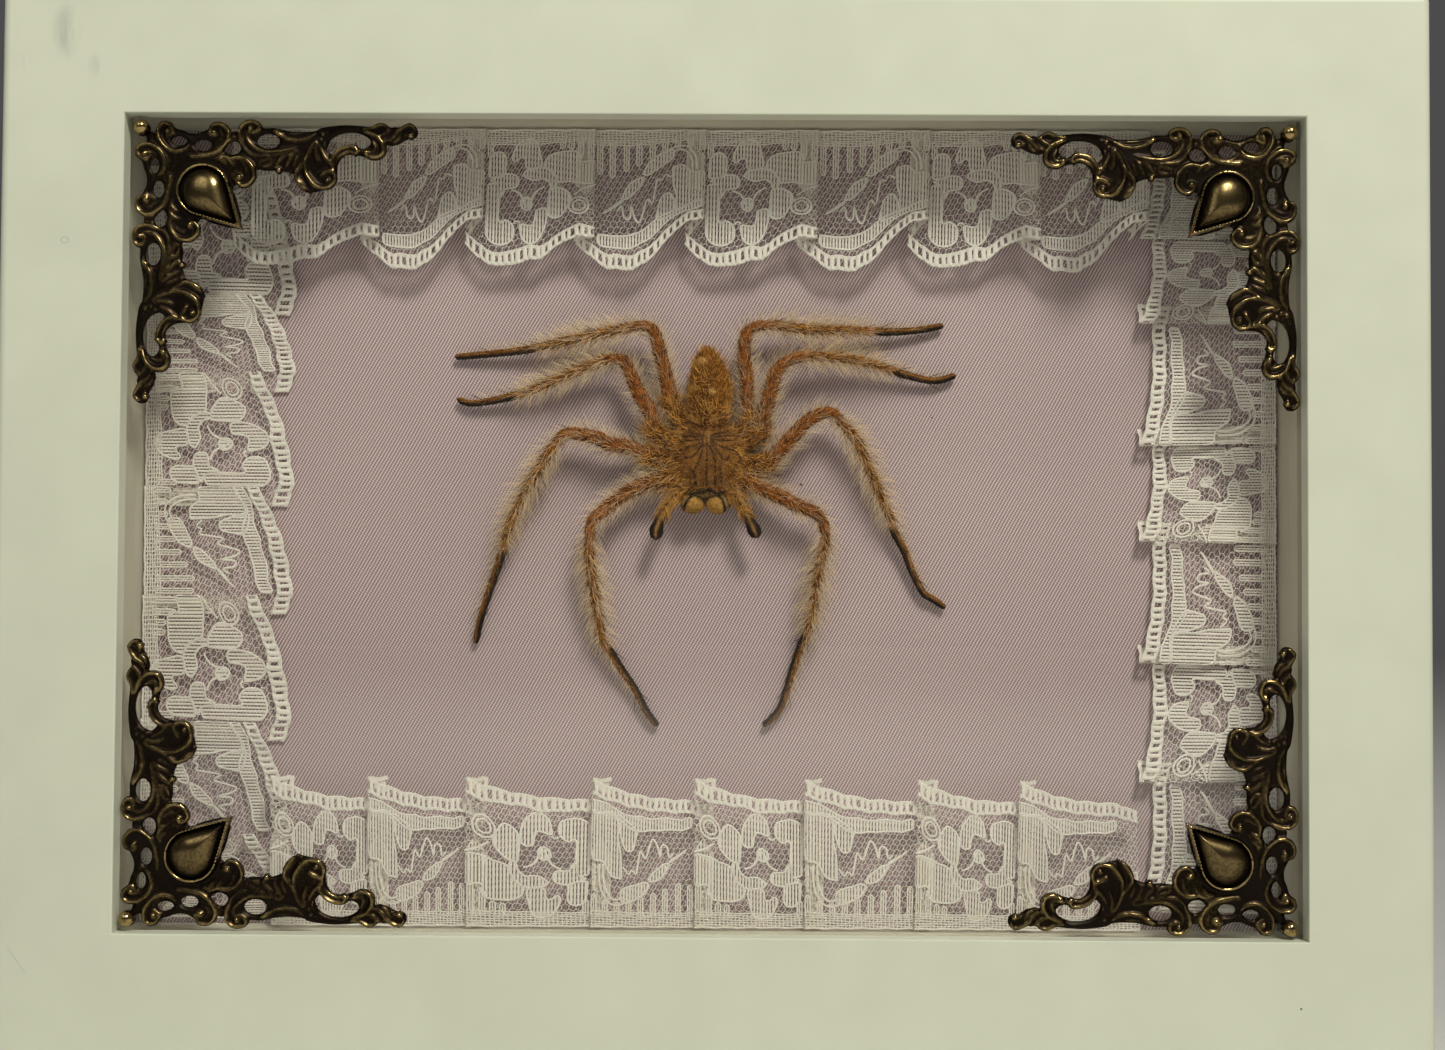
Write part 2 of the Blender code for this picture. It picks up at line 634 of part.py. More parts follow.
def build_jaw(name, centre, material):
    """One bulging jaw below the eyes."""
    bm = bmesh.new()
    bmesh.ops.create_uvsphere(bm, u_segments=10, v_segments=6, radius=1.0)
    radius_x, radius_z, radius_y = JAW_RADII
    bmesh.ops.scale(bm, vec=Vector((radius_x, radius_y, radius_z)) * MM, verts=bm.verts)
    spot = place(centre[0], centre[1], SATIN_FRONT - JAW_HEIGHT)
    bmesh.ops.translate(bm, vec=spot, verts=bm.verts)
    return finish_object(name, bm, material)


def build_spider(material):
    """The dried spider, fused into one solid whose limbs reach the tips of their hair."""
    carapace = build_body_lump("carapace", CARAPACE, material)
    others = [build_body_lump("abdomen", ABDOMEN, material)]
    for index, centre in enumerate(JAW_CENTRES):
        others.append(build_jaw(f"jaw_{index}", centre, material))
    for name, joints in LIMBS.items():
        is_leg = name.startswith("leg")
        girths = LEG_GIRTH if is_leg else PALP_GIRTH
        stations = LEG_STATIONS if is_leg else PALP_STATIONS
        others.append(build_limb(name, joints, girths, stations, material))
    mesh = fused_mesh("huntsman_spider", carapace, others)
    mesh.shade_smooth()
    mesh.set_sharp_from_angle(angle=math.radians(50))
    item = bpy.data.objects.new("huntsman_spider", mesh)
    bpy.context.scene.collection.objects.link(item)
    return item


def build():
    """Model every sub-part."""
    clear_scene()
    lacquer = make_material("white_lacquer", (0.62, 0.64, 0.53), 0.45)
    glass = make_material("clear_glass", (0.95, 0.98, 0.96), 0.03, transmission=1.0)
    card = make_material("grey_card", (0.45, 0.44, 0.40), 0.8)
    satin = make_material("pink_satin", (0.62, 0.44, 0.46), 0.45)
    lace = make_material("white_lace", (0.80, 0.78, 0.72), 0.85)
    bronze = make_material("antique_bronze", (0.26, 0.18, 0.08), 0.4, metallic=1.0)
    steel = make_material("zinc_plated_steel", (0.62, 0.62, 0.60), 0.4, metallic=1.0)
    board = make_material("brown_fibreboard", (0.36, 0.24, 0.15), 0.85)
    spider = make_material("golden_brown_spider", (0.42, 0.24, 0.10), 0.75)

    build_frame(lacquer)
    inside_half_width = RABBET_HALF_WIDTH - SHEET_SLACK
    inside_half_height = RABBET_HALF_HEIGHT - SHEET_SLACK
    slab("glass", inside_half_width, inside_half_height, GLASS_FRONT, GLASS_THICKNESS, glass)
    build_liner(card)
    slab("satin_cloth", inside_half_width, inside_half_height, SATIN_FRONT, SATIN_THICKNESS, satin)
    slab(
        "mount_board", inside_half_width, inside_half_height,
        MOUNT_BOARD_FRONT, MOUNT_BOARD_THICKNESS, card,
    )
    slab(
        "backing_board", inside_half_width, inside_half_height,
        BACKING_FRONT, BACKING_THICKNESS, board,
    )
    build_tabs(steel)
    build_hanger(steel)
    build_ornaments(bronze)
    build_lace(lace)
    build_spider(spider)


build()
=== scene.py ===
import math

import bmesh
import bpy
import numpy as np
from bpy.props import FloatProperty, FloatVectorProperty, IntProperty, PointerProperty
from mathutils import Matrix, Vector


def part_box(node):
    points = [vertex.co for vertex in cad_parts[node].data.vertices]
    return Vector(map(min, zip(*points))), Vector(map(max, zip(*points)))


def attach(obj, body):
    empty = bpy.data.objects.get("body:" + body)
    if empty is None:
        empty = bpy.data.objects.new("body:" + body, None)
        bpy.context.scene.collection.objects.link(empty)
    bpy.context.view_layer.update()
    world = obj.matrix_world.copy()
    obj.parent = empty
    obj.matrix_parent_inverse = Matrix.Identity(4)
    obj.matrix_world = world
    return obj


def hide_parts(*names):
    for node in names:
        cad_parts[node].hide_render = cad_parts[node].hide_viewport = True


bl_info = {
    "name": "Framed Huntsman Spider",
    "version": (1, 0, 0),
    "blender": (4, 5, 0),
    "location": "View3D > Sidebar > Framed Spider",
    "description": "Dried huntsman spider on satin with lace ruffles in a white box frame",
    "category": "Object",
}

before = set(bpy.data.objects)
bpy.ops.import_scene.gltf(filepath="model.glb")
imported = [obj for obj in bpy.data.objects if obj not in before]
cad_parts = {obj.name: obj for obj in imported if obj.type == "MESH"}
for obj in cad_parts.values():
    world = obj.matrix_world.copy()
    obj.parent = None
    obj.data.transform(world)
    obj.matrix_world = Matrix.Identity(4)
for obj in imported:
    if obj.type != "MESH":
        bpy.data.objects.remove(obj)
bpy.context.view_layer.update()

MM = 0.001
FRAME_LOW, FRAME_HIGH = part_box("frame")
FACE_Y = FRAME_LOW.y / MM
WINDOW_UP = (FRAME_LOW.z + FRAME_HIGH.z) / 2 / MM
FRAME_WIDTH = (FRAME_HIGH.x - FRAME_LOW.x) / MM
FRAME_HEIGHT = (FRAME_HIGH.z - FRAME_LOW.z) / MM
FRAME_DEPTH = (FRAME_HIGH.y - FRAME_LOW.y) / MM
SATIN_LOW, SATIN_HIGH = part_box("satin_cloth")
SATIN_FRONT = SATIN_LOW.y / MM - FACE_Y
SATIN_WIDTH = SATIN_HIGH.x - SATIN_LOW.x
SATIN_HEIGHT = SATIN_HIGH.z - SATIN_LOW.z
ORNAMENT_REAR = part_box("glass")[0].y / MM - FACE_Y - 0.3


# Shared helpers

def route(*tenths, width=2):
    """Points from numbers in tenths of a millimetre, two or more to a point."""
    return list(zip(*(np.array(tenths[start::width]) / 10 for start in range(width))))


def world_points(across, up, depth):
    """Points in metres, from millimetres across and up from the window and behind the face."""
    across, up, depth = np.broadcast_arrays(across, up, depth)
    columns = (across, FACE_Y + depth, WINDOW_UP + up)
    return np.stack([np.asarray(column, dtype=float).ravel() for column in columns], axis=1) * MM


def new_mesh(name, points, face_groups):
    """A mesh from an array of points and arrays of triangles or quads."""
    mesh = bpy.data.meshes.new(name)
    groups = [np.asarray(group, dtype=np.int32) for group in face_groups if len(group)]
    corners = np.concatenate([group.ravel() for group in groups])
    sizes = np.concatenate([np.full(len(group), group.shape[1]) for group in groups])
    mesh.vertices.add(len(points))
    mesh.vertices.foreach_set("co", np.asarray(points, dtype=np.float32).ravel())
    mesh.loops.add(len(corners))
    mesh.loops.foreach_set("vertex_index", corners)
    mesh.polygons.add(len(sizes))
    mesh.polygons.foreach_set("loop_start", np.concatenate(([0], np.cumsum(sizes)[:-1])))
    mesh.update(calc_edges=True)
    mesh.validate()
    return mesh


def store_values(mesh, name, values):
    """Keep a number, direction or colour per vertex as an attribute of the mesh."""
    values = np.asarray(values, dtype=np.float32).reshape(len(values), -1)
    kinds = {1: ("FLOAT", "value"), 3: ("FLOAT_VECTOR", "vector"), 4: ("FLOAT_COLOR", "color")}
    kind, key = kinds[values.shape[1]]
    mesh.attributes.new(name, kind, "POINT").data.foreach_set(key, values.ravel())


def scene_item(name, data):
    """A new object in the scene."""
    item = bpy.data.objects.new(name, data)
    bpy.context.scene.collection.objects.link(item)
    return item


def place_piece(name, mesh, material, replaced=None):
    """Put a finished mesh in the scene as a piece of the object."""
    mesh.name = name
    mesh.materials.clear()
    mesh.materials.append(material)
    item = scene_item(name, mesh)
    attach(item, "root")
    if replaced:
        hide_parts(replaced)
    return item


def smoothed(mesh, sharp=None):
    """Shade a mesh smooth, with edges sharper than an angle in degrees kept sharp."""
    mesh.shade_smooth()
    if sharp:
        mesh.set_sharp_from_angle(angle=math.radians(sharp))
    return mesh


def curve_through(points, count):
    """Points along a smooth curve through the given ones, and their places among those."""
    points = np.asarray(points, dtype=float)
    shares = np.linspace(0.0, len(points) - 1.0, count)
    index = np.minimum(shares.astype(int), len(points) - 2)
    t = (shares - index)[:, None]
    before = points[np.maximum(index - 1, 0)]
    start = points[index]
    end = points[index + 1]
    after = points[np.minimum(index + 2, len(points) - 1)]
    straight = 2 * start + (end - before) * t
    bend = (2 * before - 5 * start + 4 * end - after) * t ** 2
    twist = (3 * start - before - 3 * end + after) * t ** 3
    return (straight + bend + twist) / 2, shares


def distances_along(path):
    """The distance along a path at each of its points."""
    steps = np.linalg.norm(np.diff(path, axis=0), axis=1)
    return np.concatenate(([0.0], np.cumsum(steps)))


def respaced(path, travelled, count):
    """Points at even distances along a path, and their distances."""
    wanted = np.linspace(0.0, travelled[-1], count)
    return np.stack([np.interp(wanted, travelled, column) for column in path.T], axis=1), wanted


def even_curve(points, spacing, closed=False):
    """Points at even spacing along a smooth curve through the given points."""
    points = list(points) + list(points[:1] if closed else [])
    dense, _ = curve_through(points, max(8, 12 * len(points)))
    travelled = distances_along(dense[:, :2])
    return respaced(dense, travelled, max(2, round(travelled[-1] / spacing) + 1))[0]


def ring_quads(rings, sides, close_rings=True, close_path=False):
    """Quads between neighbouring rings of equally many vertices."""
    ring = np.arange(rings if close_path else rings - 1)[:, None]
    side = np.arange(sides if close_rings else sides - 1)
    index = np.arange(rings * sides).reshape(rings, sides)
    after = (side + 1) % sides
    following = (ring + 1) % rings
    corners = index[ring, side], index[ring, after], index[following, after], index[following, side]
    return np.stack(corners, axis=-1).reshape(-1, 4)


def inside_outline(x, y, outline):
    """Whether each point lies inside a closed outline."""
    inside = np.zeros(np.shape(x), dtype=bool)
    outline = np.asarray(outline, dtype=float)
    for (x0, y0), (x1, y1) in zip(outline, np.roll(outline, -1, axis=0)):
        if y0 == y1:
            continue
        crosses = (y0 > y) != (y1 > y)
        inside ^= crosses & (x < (x1 - x0) * (y - y0) / (y1 - y0) + x0)
    return inside


def distance_to_path(x, y, path, closed=False):
    """Distance from each point to a path of straight pieces."""
    path = np.asarray(path, dtype=float)
    ends = np.roll(path, -1, axis=0) if closed else path[1:]
    nearest = np.full(np.shape(x), 1e9)
    for (x0, y0), (x1, y1) in zip(path, ends):
        length_squared = max((x1 - x0) ** 2 + (y1 - y0) ** 2, 1e-12)
        share = ((x - x0) * (x1 - x0) + (y - y0) * (y1 - y0)) / length_squared
        share = np.clip(share, 0.0, 1.0)
        away = np.hypot(x - x0 - share * (x1 - x0), y - y0 - share * (y1 - y0))
        nearest = np.minimum(nearest, away)
    return nearest


def eased(values, low, high):
    """Smooth step from 0 at low to 1 at high."""
    share = np.clip((np.asarray(values, dtype=float) - low) / (high - low), 0.0, 1.0)
    return share * share * (3 - 2 * share)


# Node helpers

def wire(tree, value, socket):
    """Link an output to a socket, or set the socket to a plain value."""
    if isinstance(value, bpy.types.NodeSocket):
        tree.links.new(value, socket)
    else:
        socket.default_value = value


def add_node(tree, kind, inputs=None, **settings):
    """Add a node with its settings, and fill its inputs by name or number."""
    node = tree.nodes.new(kind)
    for setting, value in settings.items():
        setattr(node, setting, value)
    for key, value in (inputs or {}).items():
        wire(tree, value, node.inputs[key])
    return node


def math_node(tree, operation, *values):
    """The result of one sum on numbers or sockets."""
    inputs = dict(enumerate(values))
    return add_node(tree, "ShaderNodeMath", inputs, operation=operation).outputs[0]


def product(tree, first, *values):
    """Numbers or sockets multiplied together."""
    for value in values:
        first = math_node(tree, "MULTIPLY", first, value)
    return first


def vector_node(tree, operation, first, second=None):
    """The result of one sum on vectors."""
    node = add_node(tree, "ShaderNodeVectorMath", operation=operation)
    wire(tree, first, node.inputs[0])
    if second is not None:
        wire(tree, second, node.inputs["Scale" if operation == "SCALE" else 1])
    return node.outputs["Value" if operation == "LENGTH" else "Vector"]


def ranged(tree, value, low, high, to_low=0.0, to_high=1.0, **settings):
    """A value moved from one range into another and held there."""
    node = add_node(tree, "ShaderNodeMapRange", {
        "Value": value, "From Min": low, "From Max": high, "To Min": to_low, "To Max": to_high,
    }, **settings)
    return node.outputs["Result"]


def noise(tree, place, scale, detail, roughness=0.5):
    """Soft noise around one half."""
    inputs = {"Vector": place, "Scale": scale, "Detail": detail, "Roughness": roughness}
    return add_node(tree, "ShaderNodeTexNoise", inputs).outputs["Fac"]


def stored(tree, name, output="Fac"):
    """A value kept on the mesh, read in a material."""
    return add_node(tree, "ShaderNodeAttribute", attribute_name=name).outputs[output]


def blend_colours(tree, share, first, second, blend_type="MIX"):
    """A colour between two colours."""
    node = add_node(tree, "ShaderNodeMix", data_type="RGBA", blend_type=blend_type)
    colour_inputs = [socket for socket in node.inputs if socket.type == "RGBA"]
    wire(tree, share, node.inputs["Factor"])
    for socket, colour in zip(colour_inputs, (first, second)):
        plain = not isinstance(colour, bpy.types.NodeSocket)
        wire(tree, (*colour, 1.0) if plain else colour, socket)
    return next(output for output in node.outputs if output.type == "RGBA")


def toned(tree, colour, tone):
    """A colour made darker or brighter by a value."""
    grey = add_node(tree, "ShaderNodeCombineColor", {0: tone, 1: tone, 2: tone})
    return blend_colours(tree, 1.0, colour, grey.outputs[0], "MULTIPLY")


def ramp(tree, value, stops):
    """A colour ramp through the given (place, colour) stops."""
    node = add_node(tree, "ShaderNodeValToRGB", {"Fac": value})
    elements = node.color_ramp.elements
    while len(elements) < len(stops):
        elements.new(1.0)
    for element, (place, colour) in zip(elements, stops):
        element.position = place
        element.color = (*colour, 1.0)
    return node.outputs["Color"]


def object_place(tree):
    """The place on the object, in metres."""
    return add_node(tree, "ShaderNodeTexCoord").outputs["Object"]


def turned_place(tree, centre, angle):
    """The place on the object, turned about a centre in the plane of the window."""
    inputs = {"Vector": object_place(tree), "Center": centre, "Angle": angle}
    return add_node(tree, "ShaderNodeVectorRotate", inputs, rotation_type="Y_AXIS").outputs[0]


# Kinds of socket by their default value; a socket without one is named after its kind
SOCKET_KINDS = {float: "Float", int: "Int", tuple: "Vector", str: "String"}


def new_group(name, kind, inputs, outputs):
    """A node group with its inner ends, or the finished group alone where it exists."""
    tree = bpy.data.node_groups.get(name)
    if tree:
        return tree, None, None
    tree = bpy.data.node_groups.new(name, kind)
    for end, sockets in (("INPUT", inputs), ("OUTPUT", outputs)):
        for label, default in sockets.items():
            socket_type = "NodeSocket" + SOCKET_KINDS.get(type(default), label)
            socket = tree.interface.new_socket(label, in_out=end, socket_type=socket_type)
            if default is not None:
                socket.default_value = default
    start = tree.nodes.new("NodeGroupInput").outputs
    return tree, start, tree.nodes.new("NodeGroupOutput").inputs


def use_group(tree, group, inputs):
    """Place a shared effect in a material, with its own values."""
    return add_node(tree, "ShaderNodeGroup", inputs, node_tree=group).outputs


def named_value(tree, name, kind="FLOAT"):
    """A value kept on the mesh, read in a geometry tree."""
    node = add_node(tree, "GeometryNodeInputNamedAttribute", {"Name": name}, data_type=kind)
    return node.outputs["Attribute"]


def with_value(tree, geometry, name, value, kind="FLOAT"):
    """Geometry with one more value kept at its points."""
    node = add_node(tree, "GeometryNodeStoreNamedAttribute", {
        "Geometry": geometry, "Name": name, "Value": value,
    }, data_type=kind, domain="POINT")
    return node.outputs["Geometry"]


def close_tree(tree, geometry, material, end):
    """End a geometry tree with plain mesh in one material."""
    real = add_node(tree, "GeometryNodeRealizeInstances", {"Geometry": geometry})
    finish = add_node(tree, "GeometryNodeSetMaterial", {
        "Geometry": real.outputs["Geometry"], "Material": material,
    })
    wire(tree, finish.outputs["Geometry"], end["Geometry"])


def realized_item(name, mesh, tree, values):
    """Run a geometry tree on a mesh and return its result as a plain mesh."""
    item = scene_item(name, mesh)
    modifier = item.modifiers.new(tree.name, "NODES")
    modifier.node_group = tree
    for socket in tree.interface.items_tree:
        if socket.item_type == "SOCKET" and socket.in_out == "INPUT" and socket.name in values:
            modifier[socket.identifier] = values[socket.name]
    bpy.context.view_layer.update()
    evaluated = item.evaluated_get(bpy.context.evaluated_depsgraph_get())
    result = bpy.data.meshes.new_from_object(evaluated)
    item.modifiers.remove(modifier)
    bpy.data.objects.remove(item, do_unlink=True)
    return result


# Settings shown in the sidebar

def colour_setting(name, description, default):
    """A colour in the sidebar."""
    return FloatVectorProperty(
        name=name, description=description, default=default, min=0.0, max=1.0, subtype="COLOR",
    )


def length_setting(name, description, default):
    """A length in metres in the sidebar."""
    return FloatProperty(
        name=name, description=description, default=default, min=0.00001, unit="LENGTH",
    )


class FrameSettings(bpy.types.PropertyGroup):
    """Box frame and satin."""

    foil_colour: colour_setting("Foil", "Colour of the white foil", (0.69, 0.72, 0.585))
    edge_steps: IntProperty(
        name="Edge steps", description="Faces round each softened edge", default=6, min=2, max=16,
    )
    satin_colour: colour_setting("Satin", "Colour of the satin", (0.505, 0.38, 0.388))
    twill_pitch: length_setting("Twill pitch", "Distance between twill lines", 0.000446)
    float_length: length_setting("Float length", "Length of one float on a twill line", 0.000345)
    twill_angle: FloatProperty(
        name="Twill angle", description="Lean of the twill lines", default=-0.515, subtype="ANGLE",
    )


class FiligreeSettings(bpy.types.PropertyGroup):
    """Bronze corners."""

    relief_step: FloatProperty(
        name="Relief step", description="Grid of the relief in millimetres", default=0.14,
        min=0.08, max=0.4,
    )
    recess_colour: colour_setting("Recess", "Colour in the hollows", (0.010, 0.005, 0.002))
    rubbed_colour: colour_setting("Rubbed", "Colour of the high spots", (0.48, 0.35, 0.155))


class LaceSettings(bpy.types.PropertyGroup):
    """Lace ruffles."""

    thread_colour: colour_setting("Thread", "Colour of the thread", (0.95, 0.87, 0.77))
    seed: IntProperty(name="Seed", description="Variation of the threads", default=5)


class SpiderSettings(bpy.types.PropertyGroup):
    """Dried spider."""

    seed: IntProperty(name="Seed", description="Variation of skin and hair", default=11)
    coat_density: FloatProperty(
        name="Coat", description="Short hairs per square metre of skin", default=8e6, min=0.0,
    )
    coat_length: length_setting("Coat length", "Length of the short hair", 0.0010)
    coat_thickness: length_setting("Coat thickness", "Radius of a short hair", 0.000046)
    bristle_density: FloatProperty(
        name="Bristles", description="Long hairs per square metre of skin", default=1e7, min=0.0,
    )
    bristle_length: length_setting("Bristle length", "Length of the long hair", 0.0029)
    bristle_thickness: length_setting("Bristle thickness", "Radius of a long hair", 0.000034)
    curl_density: FloatProperty(
        name="Curls", description="Curly hairs per square metre of body", default=1.05e7, min=0.0,
    )
    curl_length: length_setting("Curl length", "Length of the curly hair", 0.0016)
    curl_thickness: length_setting("Curl thickness", "Radius of a curly hair", 0.000065)
    hair_colour: colour_setting("Hair tips", "Colour of the hair tips", (0.95, 0.48, 0.11))
    fringe_colour: colour_setting("Fringe", "Colour of the long hair", (1.0, 0.78, 0.52))
    spine_colour: colour_setting("Spines", "Colour of dark hair and spines", (0.02, 0.013, 0.009))


class StageSettings(bpy.types.PropertyGroup):
    """Light and surroundings."""

    lamp_power: FloatProperty(
        name="Lamp", description="Power of the lamp above", default=8.6, min=0.0, subtype="POWER",
    )
    lamp_size: length_setting("Lamp size", "Side of the lamp above", 0.22)
    side_power: FloatProperty(
        name="Side light", description="Power of the wide light at the left", default=1.2, min=0.0,
        subtype="POWER",
    )
    side_size: length_setting("Side light size", "Side of the light at the left", 0.45)
    fill_strength: FloatProperty(
        name="Fill", description="Strength of the pale surround", default=0.08, min=0.0,
    )
    fill_colour: colour_setting("Fill colour", "Colour of the surround", (0.93, 0.90, 0.92))


# Each group of settings, by its name on the scene
SETTINGS = {
    "stage_settings": StageSettings,
    "frame_settings": FrameSettings,
    "filigree_settings": FiligreeSettings,
    "lace_settings": LaceSettings,
    "spider_settings": SpiderSettings,
}


# Shared effects

def grain_group():
    """Fine uneven grain, as a value around one half."""
    group, start, end = new_group(
        "Fine grain", "ShaderNodeTree",
        {"Scale": 400.0, "Detail": 3.0, "Stretch": (1.0, 1.0, 1.0)},
        {"Value": 0.0, "Patches": 0.0},
    )
    if not start:
        return group
    place = vector_node(group, "MULTIPLY", object_place(group), start["Stretch"])
    fine = noise(group, place, start["Scale"], start["Detail"], 0.6)
    broad = noise(group, place, product(group, start["Scale"], 0.06), 2.0)
    wire(group, fine, end["Value"])
    wire(group, broad, end["Patches"])
    return group


def mark_group():
    """A soft oval mark at one place on the object."""
    group, start, end = new_group(
        "Surface mark", "ShaderNodeTree",
        {"Centre": (0.0, 0.0, 0.0), "Half Size": (0.01, 1.0, 0.01), "Edge": 0.4},
        {"Mask": 0.0, "Reach": 0.0},
    )
    if not start:
        return group
    offset = vector_node(group, "SUBTRACT", object_place(group), start["Centre"])
    reach = vector_node(
        group, "LENGTH", vector_node(group, "DIVIDE", offset, start["Half Size"]),
    )
    inner = math_node(group, "SUBTRACT", 1.0, start["Edge"])
    wire(group, ranged(group, reach, 1.0, inner, interpolation_type="SMOOTHSTEP"), end["Mask"])
    wire(group, reach, end["Reach"])
    return group


def twill_group():
    """Slanting twill lines of a satin cloth, broken into floats, in the plane of the window."""
    group, start, end = new_group(
        "Twill lines", "ShaderNodeTree",
        {"Pitch": 0.00045, "Float Length": 0.00035, "Angle": -0.515},
        {"Height": 0.0},
    )
    if not start:
        return group
    turned = turned_place(group, (0.0, 0.0, 0.0), start["Angle"])
    parts = add_node(group, "ShaderNodeSeparateXYZ", {"Vector": turned}).outputs
    drift = product(group, noise(group, turned, 60.0, 1.0), 0.0008)
    turns = math_node(group, "DIVIDE", math_node(group, "ADD", parts["X"], drift), start["Pitch"])
    wave = math_node(group, "COSINE", product(group, turns, 2 * math.pi))
    line = math_node(group, "MULTIPLY_ADD", wave, 0.5, 0.5)
    steps = math_node(group, "DIVIDE", parts["Z"], start["Float Length"])
    cross = math_node(group, "COSINE", product(group, steps, 2 * math.pi))
    float_end = math_node(group, "MULTIPLY_ADD", cross, 0.28, 0.72)
    wire(group, product(group, line, float_end), end["Height"])
    return group


def grain(tree, scale, detail, stretch=(1.0, 1.0, 1.0)):
    """Grain of one fineness, as its fine value and its broad patches."""
    values = {"Scale": scale, "Detail": detail, "Stretch": stretch}
    return use_group(tree, grain_group(), values)


# How far a mark on the front reaches into the object
MARK_DEPTH = 4.0


def mark(tree, across, up, half_across, half_up, edge=0.5, depth=0.0):
    """A soft oval mark, placed in millimetres from the window's centre."""
    return use_group(tree, mark_group(), {
        "Centre": window_spot(across, up, depth),
        "Half Size": (half_across * MM, MARK_DEPTH * MM, half_up * MM), "Edge": edge,
    })


def window_spot(across, up, depth=0.0):
    """A place given from the window's centre, in metres."""
    return tuple(float(value) for value in world_points(across, up, depth)[0])


# Materials

def start_material(name, colour, roughness, metallic=0.0, **plain):
    """A Principled material with its plain values set."""
    material = bpy.data.materials.new(name)
    material.use_nodes = True
    shader = material.node_tree.nodes["Principled BSDF"]
    plain = {"base_color": (*colour, 1.0), "roughness": roughness, "metallic": metallic, **plain}
    for key, value in plain.items():
        label = key.replace("_", " ").title().replace("Ior", "IOR")
        shader.inputs[label].default_value = value
    material.diffuse_color = (*colour, 1.0)
    return material, material.node_tree, shader


def finish_surface(tree, shader, colour, height=None, strength=0.0, depth=0.0, **values):
    """Feed the colour, the bump and the other varying values to the shader."""
    wire(tree, colour, shader.inputs["Base Color"])
    for key, value in values.items():
        wire(tree, value, shader.inputs[key.replace("_", " ").title()])
    if height is not None:
        inputs = {"Height": height, "Strength": strength, "Distance": depth}
        bump = add_node(tree, "ShaderNodeBump", inputs)
        wire(tree, bump.outputs["Normal"], shader.inputs["Normal"])


def tinted(colour, share):
    """A colour made darker or brighter."""
    return tuple(min(1.0, share * part) for part in colour)


def white_foil_material(colour):
    """Smooth satin white foil with rubs, a hairline scratch and fine grain."""
    material, tree, shader = start_material("White foil", colour, 0.42)
    fine = grain(tree, 1500.0, 4.0)
    shade = ramp(tree, fine["Patches"], [(0.3, tinted(colour, 0.965)), (0.7, tinted(colour, 1.02))])
    broken = ranged(tree, grain(tree, 420.0, 5.0, (1.0, 1.0, 0.16))["Value"], 0.44, 0.62)
    for across, up, half_across, half_up, amount, tint in (
        (-101.4, 68.2, 2.1, 5.2, 0.32, (0.36, 0.38, 0.36)),
        (-94.6, 71.6, 2.6, 5.0, 0.42, (0.33, 0.35, 0.33)),
        (-90.5, 66.5, 1.2, 2.4, 0.25, (0.36, 0.38, 0.36)),
    ):
        rub = mark(tree, across, up, half_across, half_up, 0.7)["Mask"]
        shade = blend_colours(tree, product(tree, rub, broken, amount), shade, tint)
    ring = mark(tree, -94.4, 40.8, 0.75, 0.6)
    band = math_node(tree, "ABSOLUTE", math_node(tree, "SUBTRACT", ring["Reach"], 0.8))
    band = ranged(tree, band, 0.28, 0.0)
    shade = blend_colours(tree, product(tree, ring["Mask"], band, 0.9), shade, (0.30, 0.32, 0.28))
    dot = mark(tree, 84.8, -69.0, 0.22, 0.2)["Mask"]
    shade = blend_colours(tree, dot, shade, (0.12, 0.12, 0.11))
    corner = window_spot(-99.7, -63.5)
    offset = vector_node(tree, "SUBTRACT", turned_place(tree, corner, 0.62), corner)
    parts = add_node(tree, "ShaderNodeSeparateXYZ", {"Vector": offset}).outputs
    thin = ranged(tree, math_node(tree, "ABSOLUTE", parts["X"]), 0.00009, 0.00002)
    short = ranged(tree, math_node(tree, "ABSOLUTE", parts["Z"]), 0.0026, 0.0018)
    scratch = product(tree, thin, short, 0.4)
    shade = blend_colours(tree, scratch, shade, (0.32, 0.33, 0.28))
    height = math_node(tree, "SUBTRACT", fine["Value"], product(tree, scratch, 4.0))
    rough = ranged(tree, fine["Patches"], 0.0, 1.0, 0.38, 0.5)
    finish_surface(tree, shader, shade, height, 0.12, 0.00008, roughness=rough)
    return material


def pane_material():
    """Clear float glass that lets the light through to what it shuts in."""
    material, tree, shader = start_material(
        "Clear pane", (0.97, 0.985, 0.975), 0.02, transmission_weight=1.0, ior=1.45,
        specular_ior_level=0.35,
    )
    dust = ranged(tree, grain(tree, 900.0, 2.0)["Value"], 0.4, 0.75, 0.012, 0.05)
    wire(tree, dust, shader.inputs["Roughness"])
    clear = add_node(tree, "ShaderNodeBsdfTransparent", {"Color": (0.975, 0.985, 0.98, 1.0)})
    path = tree.nodes.new("ShaderNodeLightPath").outputs
    passing = math_node(tree, "MAXIMUM", path["Is Shadow Ray"], path["Is Diffuse Ray"])
    both = add_node(tree, "ShaderNodeMixShader", {
        0: passing, 1: shader.outputs["BSDF"], 2: clear.outputs["BSDF"],
    })
    wire(tree, both.outputs["Shader"], tree.nodes["Material Output"].inputs["Surface"])
    return material


def card_material(name, colour, dark):
    """Matt card with paper fibres and small flecks."""
    material, tree, shader = start_material(name, colour, 0.85)
    fibres = grain(tree, 1600.0, 5.0, (1.0, 1.0, 0.35))
    shade = ramp(tree, fibres["Patches"], [(0.3, dark), (0.7, colour)])
    flecks = ranged(tree, grain(tree, 5200.0, 1.0)["Value"], 0.68, 0.76, 0.0, 0.35)
    shade = blend_colours(tree, flecks, shade, tinted(dark, 0.5))
    finish_surface(tree, shader, shade, fibres["Value"], 0.25, 0.00006)
    return material


